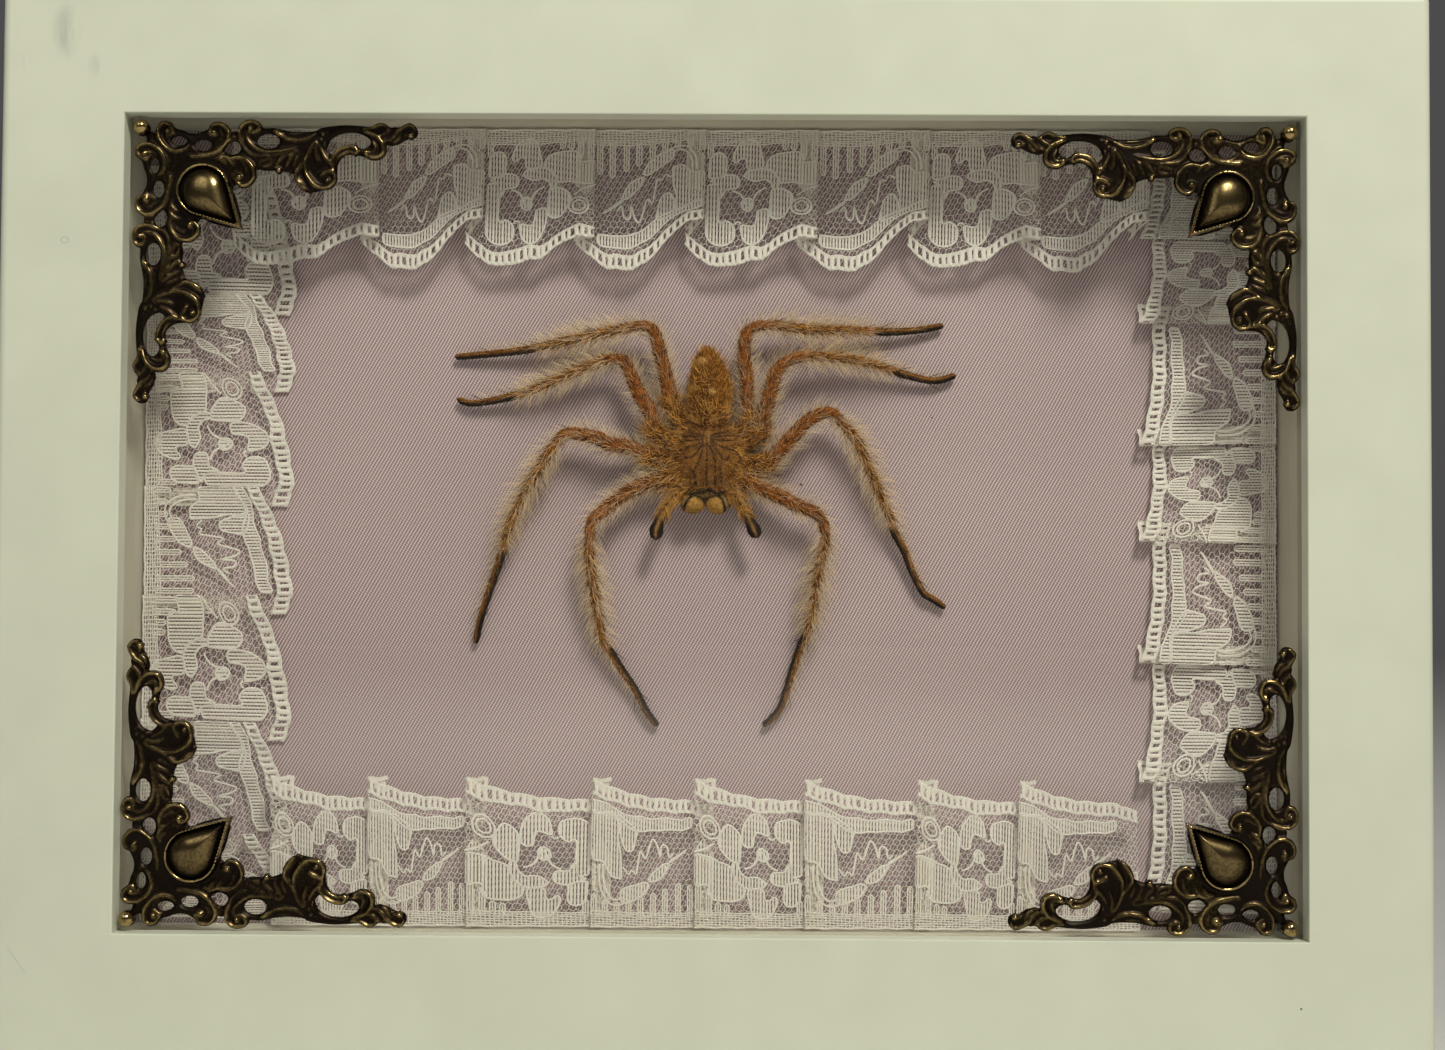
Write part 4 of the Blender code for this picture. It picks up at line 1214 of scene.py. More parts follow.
def filigree_mesh(step):
    """One filigree corner about its ball, flat at the back and modelled in relief in front."""
    grid, height, reach = filigree_relief(step)
    hollow = height - softened(height, max(2, int(round(0.42 / step))))
    points, heights, quads, polygons, rims = contour_mesh_parts(grid, height, reach, 0.3)
    triangles = [
        (first, middle, last) for first, *rest in polygons for middle, last in zip(rest, rest[1:])
    ]
    count = len(points)
    upper = np.stack([points[:, 0], -heights, -points[:, 1]], axis=1)
    rim_vertices = sorted({vertex for pair in rims for vertex in pair})
    lower_index = {vertex: count + k for k, vertex in enumerate(rim_vertices)}
    lower = upper[rim_vertices] * np.array([1.0, 0.0, 1.0])
    walls = [(a, b, lower_index[b], lower_index[a]) for a, b in rims]
    mesh = new_mesh(
        "filigree_corner", np.concatenate([upper, lower]) * MM, [quads, triangles, walls],
    )
    bm = bmesh.new()
    bm.from_mesh(mesh)
    open_edges = [edge for edge in bm.edges if edge.is_boundary]
    bmesh.ops.triangle_fill(bm, edges=open_edges, use_beauty=True, use_dissolve=False)
    bmesh.ops.recalc_face_normals(bm, faces=bm.faces)
    bm.to_mesh(mesh)
    bm.free()
    i, j = np.clip(((points.T - grid[0]) / step).round().astype(int), 0, len(grid) - 1)
    wear = np.clip(0.42 + 1.15 * hollow[i, j], 0, 1)
    share = teardrop_share(*points.T)
    wear = np.where(share < 0.8, 0.25 + 0.45 * eased(heights, 1.5, 2.7), wear)
    wear = np.where((share > 0.76) & (share < 0.86), 0.08, wear)
    wear = np.where((heights < 0.62) & (share > 1), np.minimum(wear, 0.3), wear)
    store_values(mesh, "wear", np.concatenate([wear, np.full(len(lower), 0.3)]))
    return smoothed(mesh, 60)


def placed_copy(mesh, name, across, up, depth, turn):
    """A copy of a mesh with its turn and place written into its points."""
    copy = mesh.copy()
    copy.name = name
    move = Matrix.Translation(Vector(world_points(across, up, depth)[0]))
    copy.transform(move @ Matrix.Rotation(math.radians(turn), 4, "Y"))
    return copy


# The pleated lace

LACE_WIDTH = 22.6
# Flat lace used by the face of one pleat, and by the tuck at either end
PLEAT_FACE = 16.6
PLEAT_TUCK = 3.0
BORDER_WIDTH = 2.1
HEADING_WIDTH = 2.5
NET_CELL = 1.05
NET_ROW = 0.87 * NET_CELL
# Distance between the bars of the ladder border
LADDER_STEP = 0.97
# How far the scallops hang below the heading along one pleat, as the pressed folds show it
HANG_FLOWER = route(-30, 173, -10, 196, 5, 205, 30, 209, 60, 202, 85, 198, 105, 183, 120, 172, 140,
    165, 166, 166, 196, 170)
HANG_BRANCH = route(-30, 173, -10, 192, 5, 203, 20, 213, 58, 214, 77, 204, 95, 186, 109, 170, 123,
    154, 140, 142, 166, 136, 196, 168)
# Motifs drawn on one pleat, in millimetres along it and down from the heading
FLOWER_PETALS = [
    route(4, 73, 5, 52, 7, 41, 15, 35, 25, 36, 30, 45, 29, 57, 27, 70),
    route(3, 84, 16, 82, 18, 93, 20, 114, 19, 133, 22, 142, 29, 138, 38, 142, 43, 151, 41, 167, 29,
        175, 15, 174, 4, 165, 1, 149),
    route(39, 43, 44, 29, 52, 18, 66, 14, 76, 19, 81, 36, 84, 54, 75, 60, 61, 58, 59, 45, 52, 43,
        43, 50),
    route(6, 77, 18, 72, 29, 68, 43, 69, 49, 75, 48, 86, 41, 89, 29, 91, 24, 100, 19, 102, 17, 84),
    route(88, 57, 92, 45, 103, 37, 119, 34, 137, 34, 146, 43, 141, 47, 149, 50, 162, 47, 166, 54,
        166, 77, 160, 83, 144, 82, 128, 80, 110, 80, 103, 68, 94, 61),
    route(56, 70, 61, 63, 75, 59, 89, 59, 100, 63, 107, 75, 107, 86, 100, 91, 96, 80, 87, 75, 77,
        77, 68, 77),
    route(97, 91, 107, 89, 119, 92, 128, 100, 127, 112, 121, 123, 114, 133, 103, 135, 96, 130, 95,
        114),
    route(77, 123, 89, 120, 93, 126, 92, 142, 87, 158, 77, 172, 66, 174, 57, 167, 53, 153, 53, 144,
        64, 146, 73, 144),
    route(53, 109, 61, 103, 69, 107, 69, 119, 62, 123, 55, 118),
]
FLOWER_THREADS = [
    route(39, 92, 52, 98, 59, 112, 62, 119),
    route(89, 87, 75, 96, 69, 109, 66, 119),
    route(142, 103, 153, 108, 156, 119, 149, 128, 136, 128, 127, 121, 129, 109, 142, 103),
    route(142, 108, 149, 112, 151, 119, 144, 124, 136, 123, 132, 117, 134, 111, 142, 108),
    route(134, 100, 146, 92, 158, 87, 166, 85),
    route(43, 144, 47, 139, 53, 142),
]
BRANCH_PETALS = [
    route(39, 105, 46, 91, 52, 82, 63, 75, 73, 73, 66, 87, 56, 98, 47, 105),
    route(72, 67, 79, 52, 91, 41, 105, 32, 116, 31, 116, 43, 105, 52, 91, 61, 79, 69),
    route(116, 57, 132, 54, 146, 64, 162, 64, 166, 80, 166, 105, 146, 112, 128, 122, 121, 117, 123,
        100, 118, 85),
    route(98, 105, 105, 98, 113, 98, 121, 112, 124, 123, 109, 133, 93, 137, 95, 119),
    route(4, 159, 31, 162, 54, 160, 72, 153, 84, 143, 100, 131, 123, 122, 146, 111, 166, 106, 166,
        116, 132, 126, 114, 136, 100, 149, 84, 165, 68, 173, 54, 180, 36, 180, 6, 175),
]
# Petals of both motifs on the lace that is tucked away at either end of a pleat
TUCKED_PETALS = [
    route(-29, 50, -16, 42, -6, 52, -4, 80, -14, 105, -28, 110),
    route(170, 60, 186, 52, 195, 65, 195, 110, 180, 135, 170, 120),
]
BRANCH_THREADS = [
    route(19, 122, 31, 113, 41, 106),
    route(12, 126, 26, 119, 40, 109),
    route(110, 31, 121, 25, 135, 25, 144, 31, 151, 43, 152, 61),
    route(114, 36, 125, 30, 133, 31, 140, 37, 145, 47, 146, 62),
    route(33, 123, 40, 116, 43, 133, 52, 135, 54, 115, 59, 134, 66, 142, 70, 133, 75, 114, 79, 105,
        86, 112, 90, 91, 93, 75, 100, 77, 105, 68, 114, 73),
]
HATCH_PITCH = 0.47
HATCH_THREAD = 0.31
NET_THREAD = 0.09
OUTLINE_THREAD = 0.31
CORD_THREAD = 0.32
BAR_THREAD = 0.62
HEADING_THREAD = 0.2
LOOP_THREAD = 0.24
LOOP_HALF_WIDTH = 0.36
THREAD_FLATNESS = 0.45
# Bars below the heading: place along the pleat and length, for the two motifs
FLOWER_BARS = [(0.6, 2.2), (11.6, 1.3), (12.9, 1.6), (14.3, 3.2), (15.9, 4.4)]
BRANCH_BARS = [
    (0.6, 5.0), (2.5, 5.2), (4.6, 4.2), (6.5, 3.4), (8.5, 2.7), (10.4, 2.0), (12.3, 1.6),
    (14.2, 1.8), (16.0, 2.6),
]
TUCKED_BARS = [(-2.2, 2.6), (18.0, 3.4)]
# Each strip: where its heading lies, its depth, whether it stands upright, its turn, its first
# motif, its hang at the tucked and raised ends of a pleat where that differs from the pattern's
# own, and its folds
LACE_STRIPS = {
    "lace_top": (60.2, 13.6, False, 1, 0, None,
                 (-70.6, -51.0, -34.6, -18.0, -1.2, 15.9, 32.8, 49.0, 66.0)),
    "lace_bottom": (-60.2, 13.6, False, -1, 1, (19.0, 22.4),
                    (-66.0, -51.3, -36.8, -18.1, -2.5, 14.0, 30.4, 45.6, 61.3)),
    "lace_left": (-86.7, 16.3, True, 1, 0, (22.8, 17.5),
                  (-60.0, -47.0, -29.6, -10.8, 5.8, 23.0, 35.5, 55.0)),
    "lace_right": (85.4, 16.3, True, -1, 1, (18.6, 20.8),
                   (-58.0, -38.0, -20.8, -2.2, 13.0, 31.0, 44.0, 58.0)),
}
FOLD_RISE_AT_HEADING = 0.5
FOLD_RISE_AT_SCALLOPS = 1.8


def hang_at(along, flower):
    """How far the scallops hang at each place along a pleat."""
    places, hangs = zip(*(HANG_FLOWER if flower else HANG_BRANCH))
    return np.interp(along, places, hangs)


def flattened(points, flower):
    """Points drawn on the pressed pleat, laid out on the flat lace."""
    points = np.asarray(points, dtype=float)
    down = points[:, 1] * LACE_WIDTH / hang_at(points[:, 0], flower)
    return np.stack([points[:, 0], down], axis=1)


def hatch_lines(outline, pitch):
    """Threads that fill an outline, running down the lace."""
    outline = np.asarray(outline)
    lines = []
    for along in np.arange(outline[:, 0].min() + pitch / 2, outline[:, 0].max(), pitch):
        hits = []
        for (x0, y0), (x1, y1) in zip(outline, np.roll(outline, -1, axis=0)):
            if (x0 > along) != (x1 > along):
                hits.append(y0 + (y1 - y0) * (along - x0) / (x1 - x0))
        hits.sort()
        for top, bottom in zip(hits[::2], hits[1::2]):
            if bottom - top > 0.25:
                lines.append([(along, top), (along, bottom)])
    return lines


def border_place(along, flower):
    """The border's inner and outer edge on the flat lace, with its small scallops."""
    wave = 0.32 * np.abs(np.sin(math.pi * (along + 0.6) / 3.75))
    outer = LACE_WIDTH - 0.45 + wave
    lean = 0.25 if flower else 0.0
    return outer - BORDER_WIDTH + lean * np.sin(along * 0.8), outer


def lace_threads(flower, seed):
    """All threads of one pleat of flat lace: points, width and how proud they lie."""
    draw = np.random.default_rng(seed)
    low = -PLEAT_TUCK
    high = PLEAT_FACE + PLEAT_TUCK
    threads = []
    petals = [
        flattened(even_curve(petal, 0.4, closed=True)[:-1], flower)
        for petal in (FLOWER_PETALS if flower else BRANCH_PETALS)
    ]
    tucked = [np.array(petal) for petal in TUCKED_PETALS]
    for petal in petals + tucked:
        for line in hatch_lines(petal, HATCH_PITCH):
            wide = HATCH_THREAD * draw.uniform(0.8, 1.15)
            threads.append((line, wide, 0.05))
        closed = np.concatenate([petal, petal[:1]])
        threads.append((closed, OUTLINE_THREAD, 0.1))
    for thread in FLOWER_THREADS if flower else BRANCH_THREADS:
        threads.append((flattened(even_curve(thread, 0.4), flower), OUTLINE_THREAD, 0.1))

    along = np.arange(low, high + 0.01, 0.4)
    inner, outer = border_place(along, flower)
    for down, wide, proud in ((inner, CORD_THREAD, 0.12), (inner + 0.28, OUTLINE_THREAD, 0.08),
                              (outer, CORD_THREAD * 1.15, 0.14),
                              (outer - 0.3, OUTLINE_THREAD, 0.08)):
        threads.append((np.stack([along, down], axis=1), wide, proud))
    bar = low + 0.3
    while bar < high:
        inner, outer = border_place(np.array([bar, bar + 0.22]), flower)
        lean = draw.uniform(-0.12, 0.2)
        wide = BAR_THREAD * draw.uniform(0.8, 1.15)
        middle = (bar + lean * 0.6, (inner[0] + outer[0]) / 2)
        threads.append(([(bar, inner[0]), middle, (bar + lean, outer[0])], wide, 0.18))
        bar += LADDER_STEP * draw.uniform(0.9, 1.1)

    fine = HEADING_THREAD
    for height, wide in ((0.15, CORD_THREAD), (0.55, fine), (0.95, fine), (1.35, fine),
                         (1.75, fine), (2.1, fine), (HEADING_WIDTH, LOOP_THREAD)):
        wander = height + 0.05 * np.sin(along * 1.7 + height * 5)
        threads.append((np.stack([along, wander], axis=1), wide, 0.06))
    for across in np.arange(low, high, 0.6):
        threads.append(([(across, 0.15), (across + 0.1, HEADING_WIDTH)], fine, 0.02))
    for place, length in (FLOWER_BARS if flower else BRANCH_BARS) + TUCKED_BARS:
        end = HEADING_WIDTH + length
        loop = [
            (place + beside * LOOP_HALF_WIDTH, down)
            for beside, down in ((-1, HEADING_WIDTH - 0.6), (-1, end - 0.3), (-0.4, end),
                                 (0.4, end), (1, end - 0.3), (1, HEADING_WIDTH - 0.6))
        ]
        threads.append((loop, LOOP_THREAD, 0.1))
        threads.append(([(place, HEADING_WIDTH), (place, end - 0.2)], fine, 0.05))

    net = net_edges(low, high, flower, petals + tucked)
    return threads + [(edge, NET_THREAD, 0.0) for edge in net]


def net_edges(low, high, flower, holes):
    """Edges of the six-sided net between heading and border, outside the filled petals."""
    rows = int((LACE_WIDTH - HEADING_WIDTH) / NET_ROW) + 1
    columns = int((high - low) / NET_CELL) + 2
    third = NET_CELL / math.sqrt(3)
    net = []
    for row in range(rows):
        for column in range(columns):
            u = low + (column + 0.5 * (row % 2)) * NET_CELL
            v = HEADING_WIDTH + row * NET_ROW
            fork = (u, v + third / 2)
            net += [((u, v - third / 2), fork)]
            net += [(fork, (u + side * NET_CELL / 2, v + third)) for side in (-1, 1)]
    net = np.array(net)
    net[..., 0] += 0.1 * np.sin(net[..., 1] * 2.1) + 0.08 * np.sin(net[..., 0] * 1.3)
    u, v = net.mean(axis=1).T
    keep = (u > low) & (u < high) & (v < border_place(u, flower)[0])
    for hole in holes:
        keep &= ~inside_outline(u, v, hole)
    return net[keep]


def thread_tree():
    """Geometry tree that turns paths into flat arched threads of a stored width."""
    group, start, end = new_group(
        "Lace threads", "GeometryNodeTree",
        {"Geometry": None, "Flatness": THREAD_FLATNESS, "Material": None}, {"Geometry": None},
    )
    if not start:
        return group
    paths = add_node(group, "GeometryNodeMeshToCurve", {"Mesh": start["Geometry"]})
    level = add_node(
        group, "GeometryNodeSetCurveNormal", {"Curve": paths.outputs["Curve"]}, mode="Z_UP",
    )
    arch = add_node(
        group, "GeometryNodeCurveArc",
        {"Resolution": 3, "Radius": 0.5, "Start Angle": 0.0, "Sweep Angle": math.pi},
        mode="RADIUS",
    )
    toward_viewer = product(group, start["Flatness"], -1.0)
    squash = add_node(group, "ShaderNodeCombineXYZ", {"X": 1.0, "Y": toward_viewer, "Z": 1.0})
    profile = add_node(group, "GeometryNodeTransform", {
        "Geometry": arch.outputs["Curve"], "Scale": squash.outputs[0],
    })
    sweep = add_node(group, "GeometryNodeCurveToMesh", {
        "Curve": level.outputs["Curve"], "Profile Curve": profile.outputs["Geometry"],
        "Scale": named_value(group, "width"),
    })
    close_tree(group, sweep.outputs["Mesh"], start["Material"], end)
    return group


def flat_pleat(flower, seed, material):
    """Points and faces of one pleat of flat lace, swept from its threads."""
    points = []
    widths = []
    edges = []
    for path, wide, proud in lace_threads(flower, seed):
        edges += [(k, k + 1) for k in range(len(points), len(points) + len(path) - 1)]
        points += [(u, v, proud) for u, v in path]
        widths += [wide] * len(path)
    mesh = bpy.data.meshes.new("lace_paths")
    mesh.from_pydata(points, edges, [])
    store_values(mesh, "width", widths)
    values = {"Flatness": THREAD_FLATNESS, "Material": material}
    swept = realized_item("lace_paths", mesh, thread_tree(), values)
    coordinates = np.empty(len(swept.vertices) * 3, dtype=np.float32)
    swept.vertices.foreach_get("co", coordinates)
    corners = np.empty(len(swept.loops), dtype=np.int32)
    swept.loops.foreach_get("vertex_index", corners)
    return coordinates.reshape(-1, 3), corners.reshape(-1, 4)


def folded_pleat(flat, start, end, hang, flower, tilt):
    """Fold one flat pleat: tucked start, raised face and return, as along, down and lift."""
    u, v, proud = flat.T
    share = np.clip(u / PLEAT_FACE, 0, 1)
    fall = v / LACE_WIDTH
    reach = hang_at(u, flower)
    if hang is not None:
        tucked, raised = hang
        own = tucked + (raised - tucked) * (share - 0.1 * np.sin(math.pi * share) * share)
        own = own - 0.8 * np.sin(math.pi * share) * np.sign(raised - tucked)
        reach = own + np.where(u < 0, 0.35 * u, 0) * 1.2
    down = v * reach / LACE_WIDTH
    along = start + (end - start) * share
    along = np.where(u < 0, start + u, along)
    along = np.where(u > PLEAT_FACE, end - (u - PLEAT_FACE), along)
    along = along + tilt[0] * fall * (1 - share) + tilt[1] * fall * share
    rise = FOLD_RISE_AT_HEADING + (FOLD_RISE_AT_SCALLOPS - FOLD_RISE_AT_HEADING) * fall
    back = np.clip((u - PLEAT_FACE) / PLEAT_TUCK, 0, 1)
    lift = rise * (share ** 1.4 - 0.5) - rise * back - 0.25 * back
    lift = np.where(u < 0, -0.5 * rise - 0.25 + 0.25 * np.exp(u * 2.0), lift)
    lift = lift + 0.12 * np.sin(u * 0.9 + v * 0.35) * fall
    facing = np.where(u > PLEAT_FACE, -1.0, 1.0)
    return along, down, lift + proud * facing


def without_tucked_start(flat, quads):
    """The pleat cut off at its first fold, where the liner leaves no room for more."""
    kept = quads[(flat[quads][:, :, 0] > -0.3).all(axis=1)]
    used, kept = np.unique(kept, return_inverse=True)
    return flat[used], kept.reshape(-1, 4)


def lace_strip_mesh(name, pleats):
    """One whole ruffle, folded from flat pleats and turned to its side of the window."""
    heading, depth, upright, turn, first, hang, folds = LACE_STRIPS[name]
    folds = sorted(turn * fold for fold in folds)
    draw = np.random.default_rng(len(name) * 7 + 3)
    tilts = draw.uniform(-0.5, 0.5, len(folds))
    points = []
    faces = []
    total = 0
    for number, (start, end) in enumerate(zip(folds[:-1], folds[1:])):
        flower = (number + first) % 2 == 0
        flat, quads = pleats[flower]
        if number == 0 and upright:
            flat, quads = without_tucked_start(flat, quads)
        along, down, lift = folded_pleat(flat, start, end, hang, flower, tilts[number:number + 2])
        place = turn * along, heading - math.copysign(1, heading) * down
        points.append(world_points(*(place[::-1] if upright else place), depth - lift))
        faces.append(quads + total)
        total += len(flat)
    mesh = new_mesh(name, np.concatenate(points), [np.concatenate(faces)])
    return smoothed(mesh), folds


# The spider, lying head down. Points are across and up from the window's centre, with the
# height above the satin. Each leg: its knee and its ankle as places along its points, its
# side (-1 is the left one), and its points from the carapace to the tip.

LEGS = {
    "leg_4_left": (3.5, 6.5, -1, route(-63, 184, 30, -67, 203, 33, -81, 260, 41, -91, 295, 43,
        -109, 303, 42, -152, 296, 37, -241, 278, 25, -299, 267, 18, -396, 258, 9, width=3)),
    "leg_3_left": (4.0, 8.5, -1, route(-88, 143, 30, -92, 166, 33, -113, 202, 40, -131, 243, 43,
        -141, 252, 43, -169, 250, 39, -202, 237, 34, -240, 222, 29, -279, 206, 23, -317, 195, 18,
        -368, 187, 12, -392, 194, 9, width=3)),
    "leg_2_left": (4.2, 9.5, -1, route(-90, 105, 30, -125, 119, 36, -158, 124, 41, -176, 133, 42,
        -217, 140, 42, -232, 132, 40, -256, 99, 36, -281, 59, 31, -303, 15, 26, -317, -25, 21,
        -320, -41, 20, -331, -75, 17, -344, -113, 14, -354, -147, 12, -360, -179, 9, width=3)),
    "leg_1_left": (4.3, 10.5, -1, route(-73, 73, 30, -105, 63, 35, -135, 47, 39, -166, 22, 42,
        -182, 6, 43, -185, -13, 42, -187, -38, 39, -184, -62, 36, -178, -105, 31, -172, -142, 26,
        -165, -176, 21, -156, -188, 20, -140, -213, 18, -115, -250, 14, -100, -279, 12, -82, -303,
        9, width=3)),
    "leg_4_right": (4.3, 8.5, 1, route(59, 161, 30, 52, 181, 33, 50, 222, 38, 46, 262, 41, 52, 295,
        43, 77, 305, 42, 111, 303, 38, 153, 300, 31, 210, 300, 24, 267, 299, 18, 310, 302, 13, 350,
        310, 9, width=3)),
    "leg_3_right": (4.2, 7.5, 1, route(68, 142, 30, 75, 161, 33, 84, 195, 38, 94, 232, 42, 111,
        250, 43, 136, 258, 42, 194, 257, 33, 243, 248, 25, 293, 233, 18, 336, 225, 12, 369, 234,
        9, width=3)),
    "leg_2_right": (3.1, 8.5, 1, route(76, 95, 30, 111, 127, 38, 143, 160, 42, 174, 174, 42, 191,
        161, 40, 217, 131, 36, 237, 87, 30, 256, 43, 25, 270, 14, 21, 274, -3, 20, 291, -35, 17,
        304, -68, 14, 320, -98, 12, 337, -109, 10, 354, -121, 9, width=3)),
    "leg_1_right": (3.3, 8.5, 1, route(49, 69, 30, 88, 52, 38, 128, 32, 42, 158, 19, 42, 170, -7,
        38, 167, -36, 35, 159, -74, 31, 154, -111, 26, 147, -148, 22, 141, -166, 20, 133, -183, 19,
        123, -215, 16, 113, -248, 14, 102, -277, 12, 78, -302, 9, width=3)),
}
PALPS = {
    "palp_left": route(-46, 56, 39, -62, 40, 42, -76, 17, 48, -84, -5, 51, -85, -21, 51, width=3),
    "palp_right": route(26, 56, 39, 39, 38, 42, 51, 18, 48, 61, -2, 51, 68, -17, 51, width=3),
}
# Radius in millimetres, cover with short hair and length of hair at the stations of a leg, from
# under the carapace to the tip; then radius at shares of a palp
LEG_PROFILE = (
    (1.3, 1.6, 1.65, 1.45, 1.15, 1.16, 0.95, 0.78, 0.85, 0.86, 0.7, 0.8, 0.76, 0.66, 0.58, 0.66,
     0.6, 0.53, 0.56, 0.53, 0.46, 0.16),
    (0.5, 0.9, 1.1, 1.0, 0.85, 0.75, 0.75, 0.8, 0.9, 1.0, 1.0, 1.15, 1.25, 1.15, 0.95, 0.9,
     0.85, 0.75, 0.75, 0.8, 0.8, 0.3),
    (0.7, 0.85, 0.9, 0.85, 0.8, 0.85, 0.85, 0.7, 0.7, 0.85, 0.95, 1.05, 1.1, 1.0, 0.85, 0.8,
     0.75, 0.65, 0.55, 0.45, 0.3, 0.1),
)
PALP_PROFILE = (
    (0, 0.15, 0.3, 0.36, 0.5, 0.62, 0.68, 0.84, 0.95, 1),
    (0.6, 0.85, 0.8, 0.66, 0.78, 0.7, 0.74, 1.08, 0.85, 0.15),
)
MIDLINE = -0.8
BODY_CENTRE = (-0.8, 10.4)
LEG_ROOT_SHARE = 0.55
LEG_ROOT_DROP = 0.4
PATELLA_LENGTH = 2.6
TARSUS_SHARE = 0.66
LEG_SIDES = 14
PALP_SIDES = 28
LEG_FLATNESS = 0.88
PALP_FLATNESS = 0.85
# Vertices along and round the carapace and the abdomen
CARAPACE_GRID = (116, 168)
ABDOMEN_GRID = (84, 72)
LEG_SPACING = 0.16
PALP_SPACING = 0.13
SPINE_RADII = np.array([0.06, 0.055, 0.045, 0.03, 0.008])
SPINE_SIDES = 5
# Colours of the parts, without their fine mottling
RUST = (0.25, 0.07, 0.006)
RUST_DARK = (0.05, 0.012, 0.001)
GOLD = (0.24, 0.088, 0.007)
TAN = (0.36, 0.19, 0.06)
PALE_JOINT = (0.46, 0.23, 0.13)
BLACK = (0.016, 0.009, 0.005)
BODY_GOLD = (0.19, 0.062, 0.003)
BODY_DARK = (0.075, 0.022, 0.001)
BODY_PALE = (0.55, 0.32, 0.09)
JAW_TAN = (0.42, 0.215, 0.05)
JAW_GREY = (0.25, 0.16, 0.06)
CARAPACE_BROWN = (0.24, 0.10, 0.02)
CARAPACE_DARK = (0.10, 0.036, 0.006)
CARAPACE_PALE = (0.36, 0.20, 0.07)
GROOVE_BLACK = (0.022, 0.009, 0.005)
FANG_BROWN = (0.17, 0.08, 0.025)
# Body rows from the tail to the jaws: up, half width, half thickness, height, across
ABDOMEN_ROWS = [
    (27.3, 0.1, 0.1, 4.3, -1.0), (26.8, 0.8, 0.75, 4.3, -1.0), (26.0, 1.5, 1.35, 4.3, -0.9),
    (24.6, 2.3, 2.1, 4.3, -0.8), (22.4, 2.95, 2.7, 4.2, -0.6), (19.6, 3.2, 2.85, 4.1, -0.5),
    (17.2, 3.0, 2.5, 4.0, -0.6), (15.4, 2.0, 1.6, 3.9, -0.7), (14.6, 0.6, 0.6, 3.8, -0.8),
]
CARAPACE_ROWS = [
    (15.6, 0.4, 0.3, 3.6, -0.8), (15.2, 2.2, 1.1, 3.65, -0.8), (14.2, 3.7, 1.8, 3.75, -0.8),
    (12.8, 4.6, 2.2, 3.9, -0.8), (10.4, 5.0, 2.5, 4.0, -0.8), (8.0, 4.6, 2.55, 4.1, -0.8),
    (6.4, 3.8, 2.35, 4.2, -0.8), (5.3, 3.2, 2.0, 4.1, -0.8), (4.7, 2.5, 1.4, 4.0, -0.8),
    (4.45, 0.5, 0.4, 3.9, -0.8),
]
# Dark grooves that run out from the pit in the carapace
CARAPACE_GROOVES = [
    route(-10, 133, -9, 100, -10, 59),
    route(-5, 136, 10, 140, 24, 142),
    route(-4, 133, 14, 136, 33, 137),
    route(-4, 130, 13, 129, 32, 129),
    route(-3, 127, 12, 120, 26, 115, 34, 114),
    route(-14, 136, -29, 140, -43, 142),
    route(-15, 133, -32, 135, -49, 135),
    route(-15, 130, -32, 129, -48, 128),
    route(-15, 126, -32, 120, -54, 113),
    route(-2, 123, 10, 108, 16, 99, 21, 99, 25, 106),
    route(-15, 123, -27, 108, -34, 102, -42, 103),
    route(-6, 121, 1, 107, 4, 92, 3, 64),
    route(-13, 121, -18, 107, -23, 93, -30, 80, -33, 86),
    route(10, 90, 13, 76, 12, 64),
    route(-29, 82, -26, 70, -26, 63),
]
ABDOMEN_SPOTS = [
    (-1.75, 24.9, 0.8, 0.45), (-3.0, 20.6, 0.5, 0.6), (-0.1, 20.2, 0.45, 0.55),
    (-0.6, 17.6, 0.5, 0.4), (-2.6, 15.9, 0.7, 0.4), (2.1, 17.6, 0.45, 1.3), (0.2, 16.2, 0.6, 0.5),
]
# Each jaw: its middle, its bulb, and the path of its black stripe
JAWS = [
    (-3.05, (-2.75, 2.95), [(-2.8, 4.9), (-3.5, 4.2), (-4.2, 3.1), (-4.45, 2.1)]),
    (0.7, (0.25, 2.95), [(0.5, 4.9), (1.3, 4.2), (1.75, 3.1), (1.85, 2.1)]),
]
# The pit in the carapace, and the paler patches on it: place and half size
PIT = (-1.0, 13.1)
CARAPACE_PATCHES = [(-4.0, 6.2, 0.65, 0.8), (2.2, 6.0, 0.65, 0.8), (-0.8, 13.4, 0.4, 0.9)]
CHEEKS = (-4.6, 2.3)
BROW = -1.2
# Front of the carapace: places up, and the height of its top and its half width there
HEAD_PROFILE = ((4.45, 4.7, 5.3, 6.4, 8.0), (3.9, 5.4, 6.05, 6.45, 6.6), (1.2, 2.5, 3.2, 3.8, 4.6))
EYES = [
    (-2.55, 6.45, 0.24), (0.35, 6.35, 0.24), (-3.2, 5.15, 0.3), (1.0, 5.15, 0.3),
    (-1.75, 5.55, 0.26), (-0.35, 5.55, 0.26), (-1.45, 4.95, 0.2), (-0.35, 4.95, 0.2),
]


def spider_points(across, up, height):
    """Points in metres, with the height taken above the satin."""
    return world_points(across, up, SATIN_FRONT - np.asarray(height))


def mixed(first, second, share):
    """Colours between two colours, by a share for each point."""
    share = np.asarray(share)[..., None]
    return np.asarray(first) * (1 - share) + np.asarray(second) * share


def oval_spot(across, up, place, size, edge):
    """1 in the middle of an oval spot, falling softly to 0 outside it."""
    away = np.hypot((across - place[0]) / size[0], (up - place[1]) / size[1])
    return np.clip(edge - away, 0, 1)


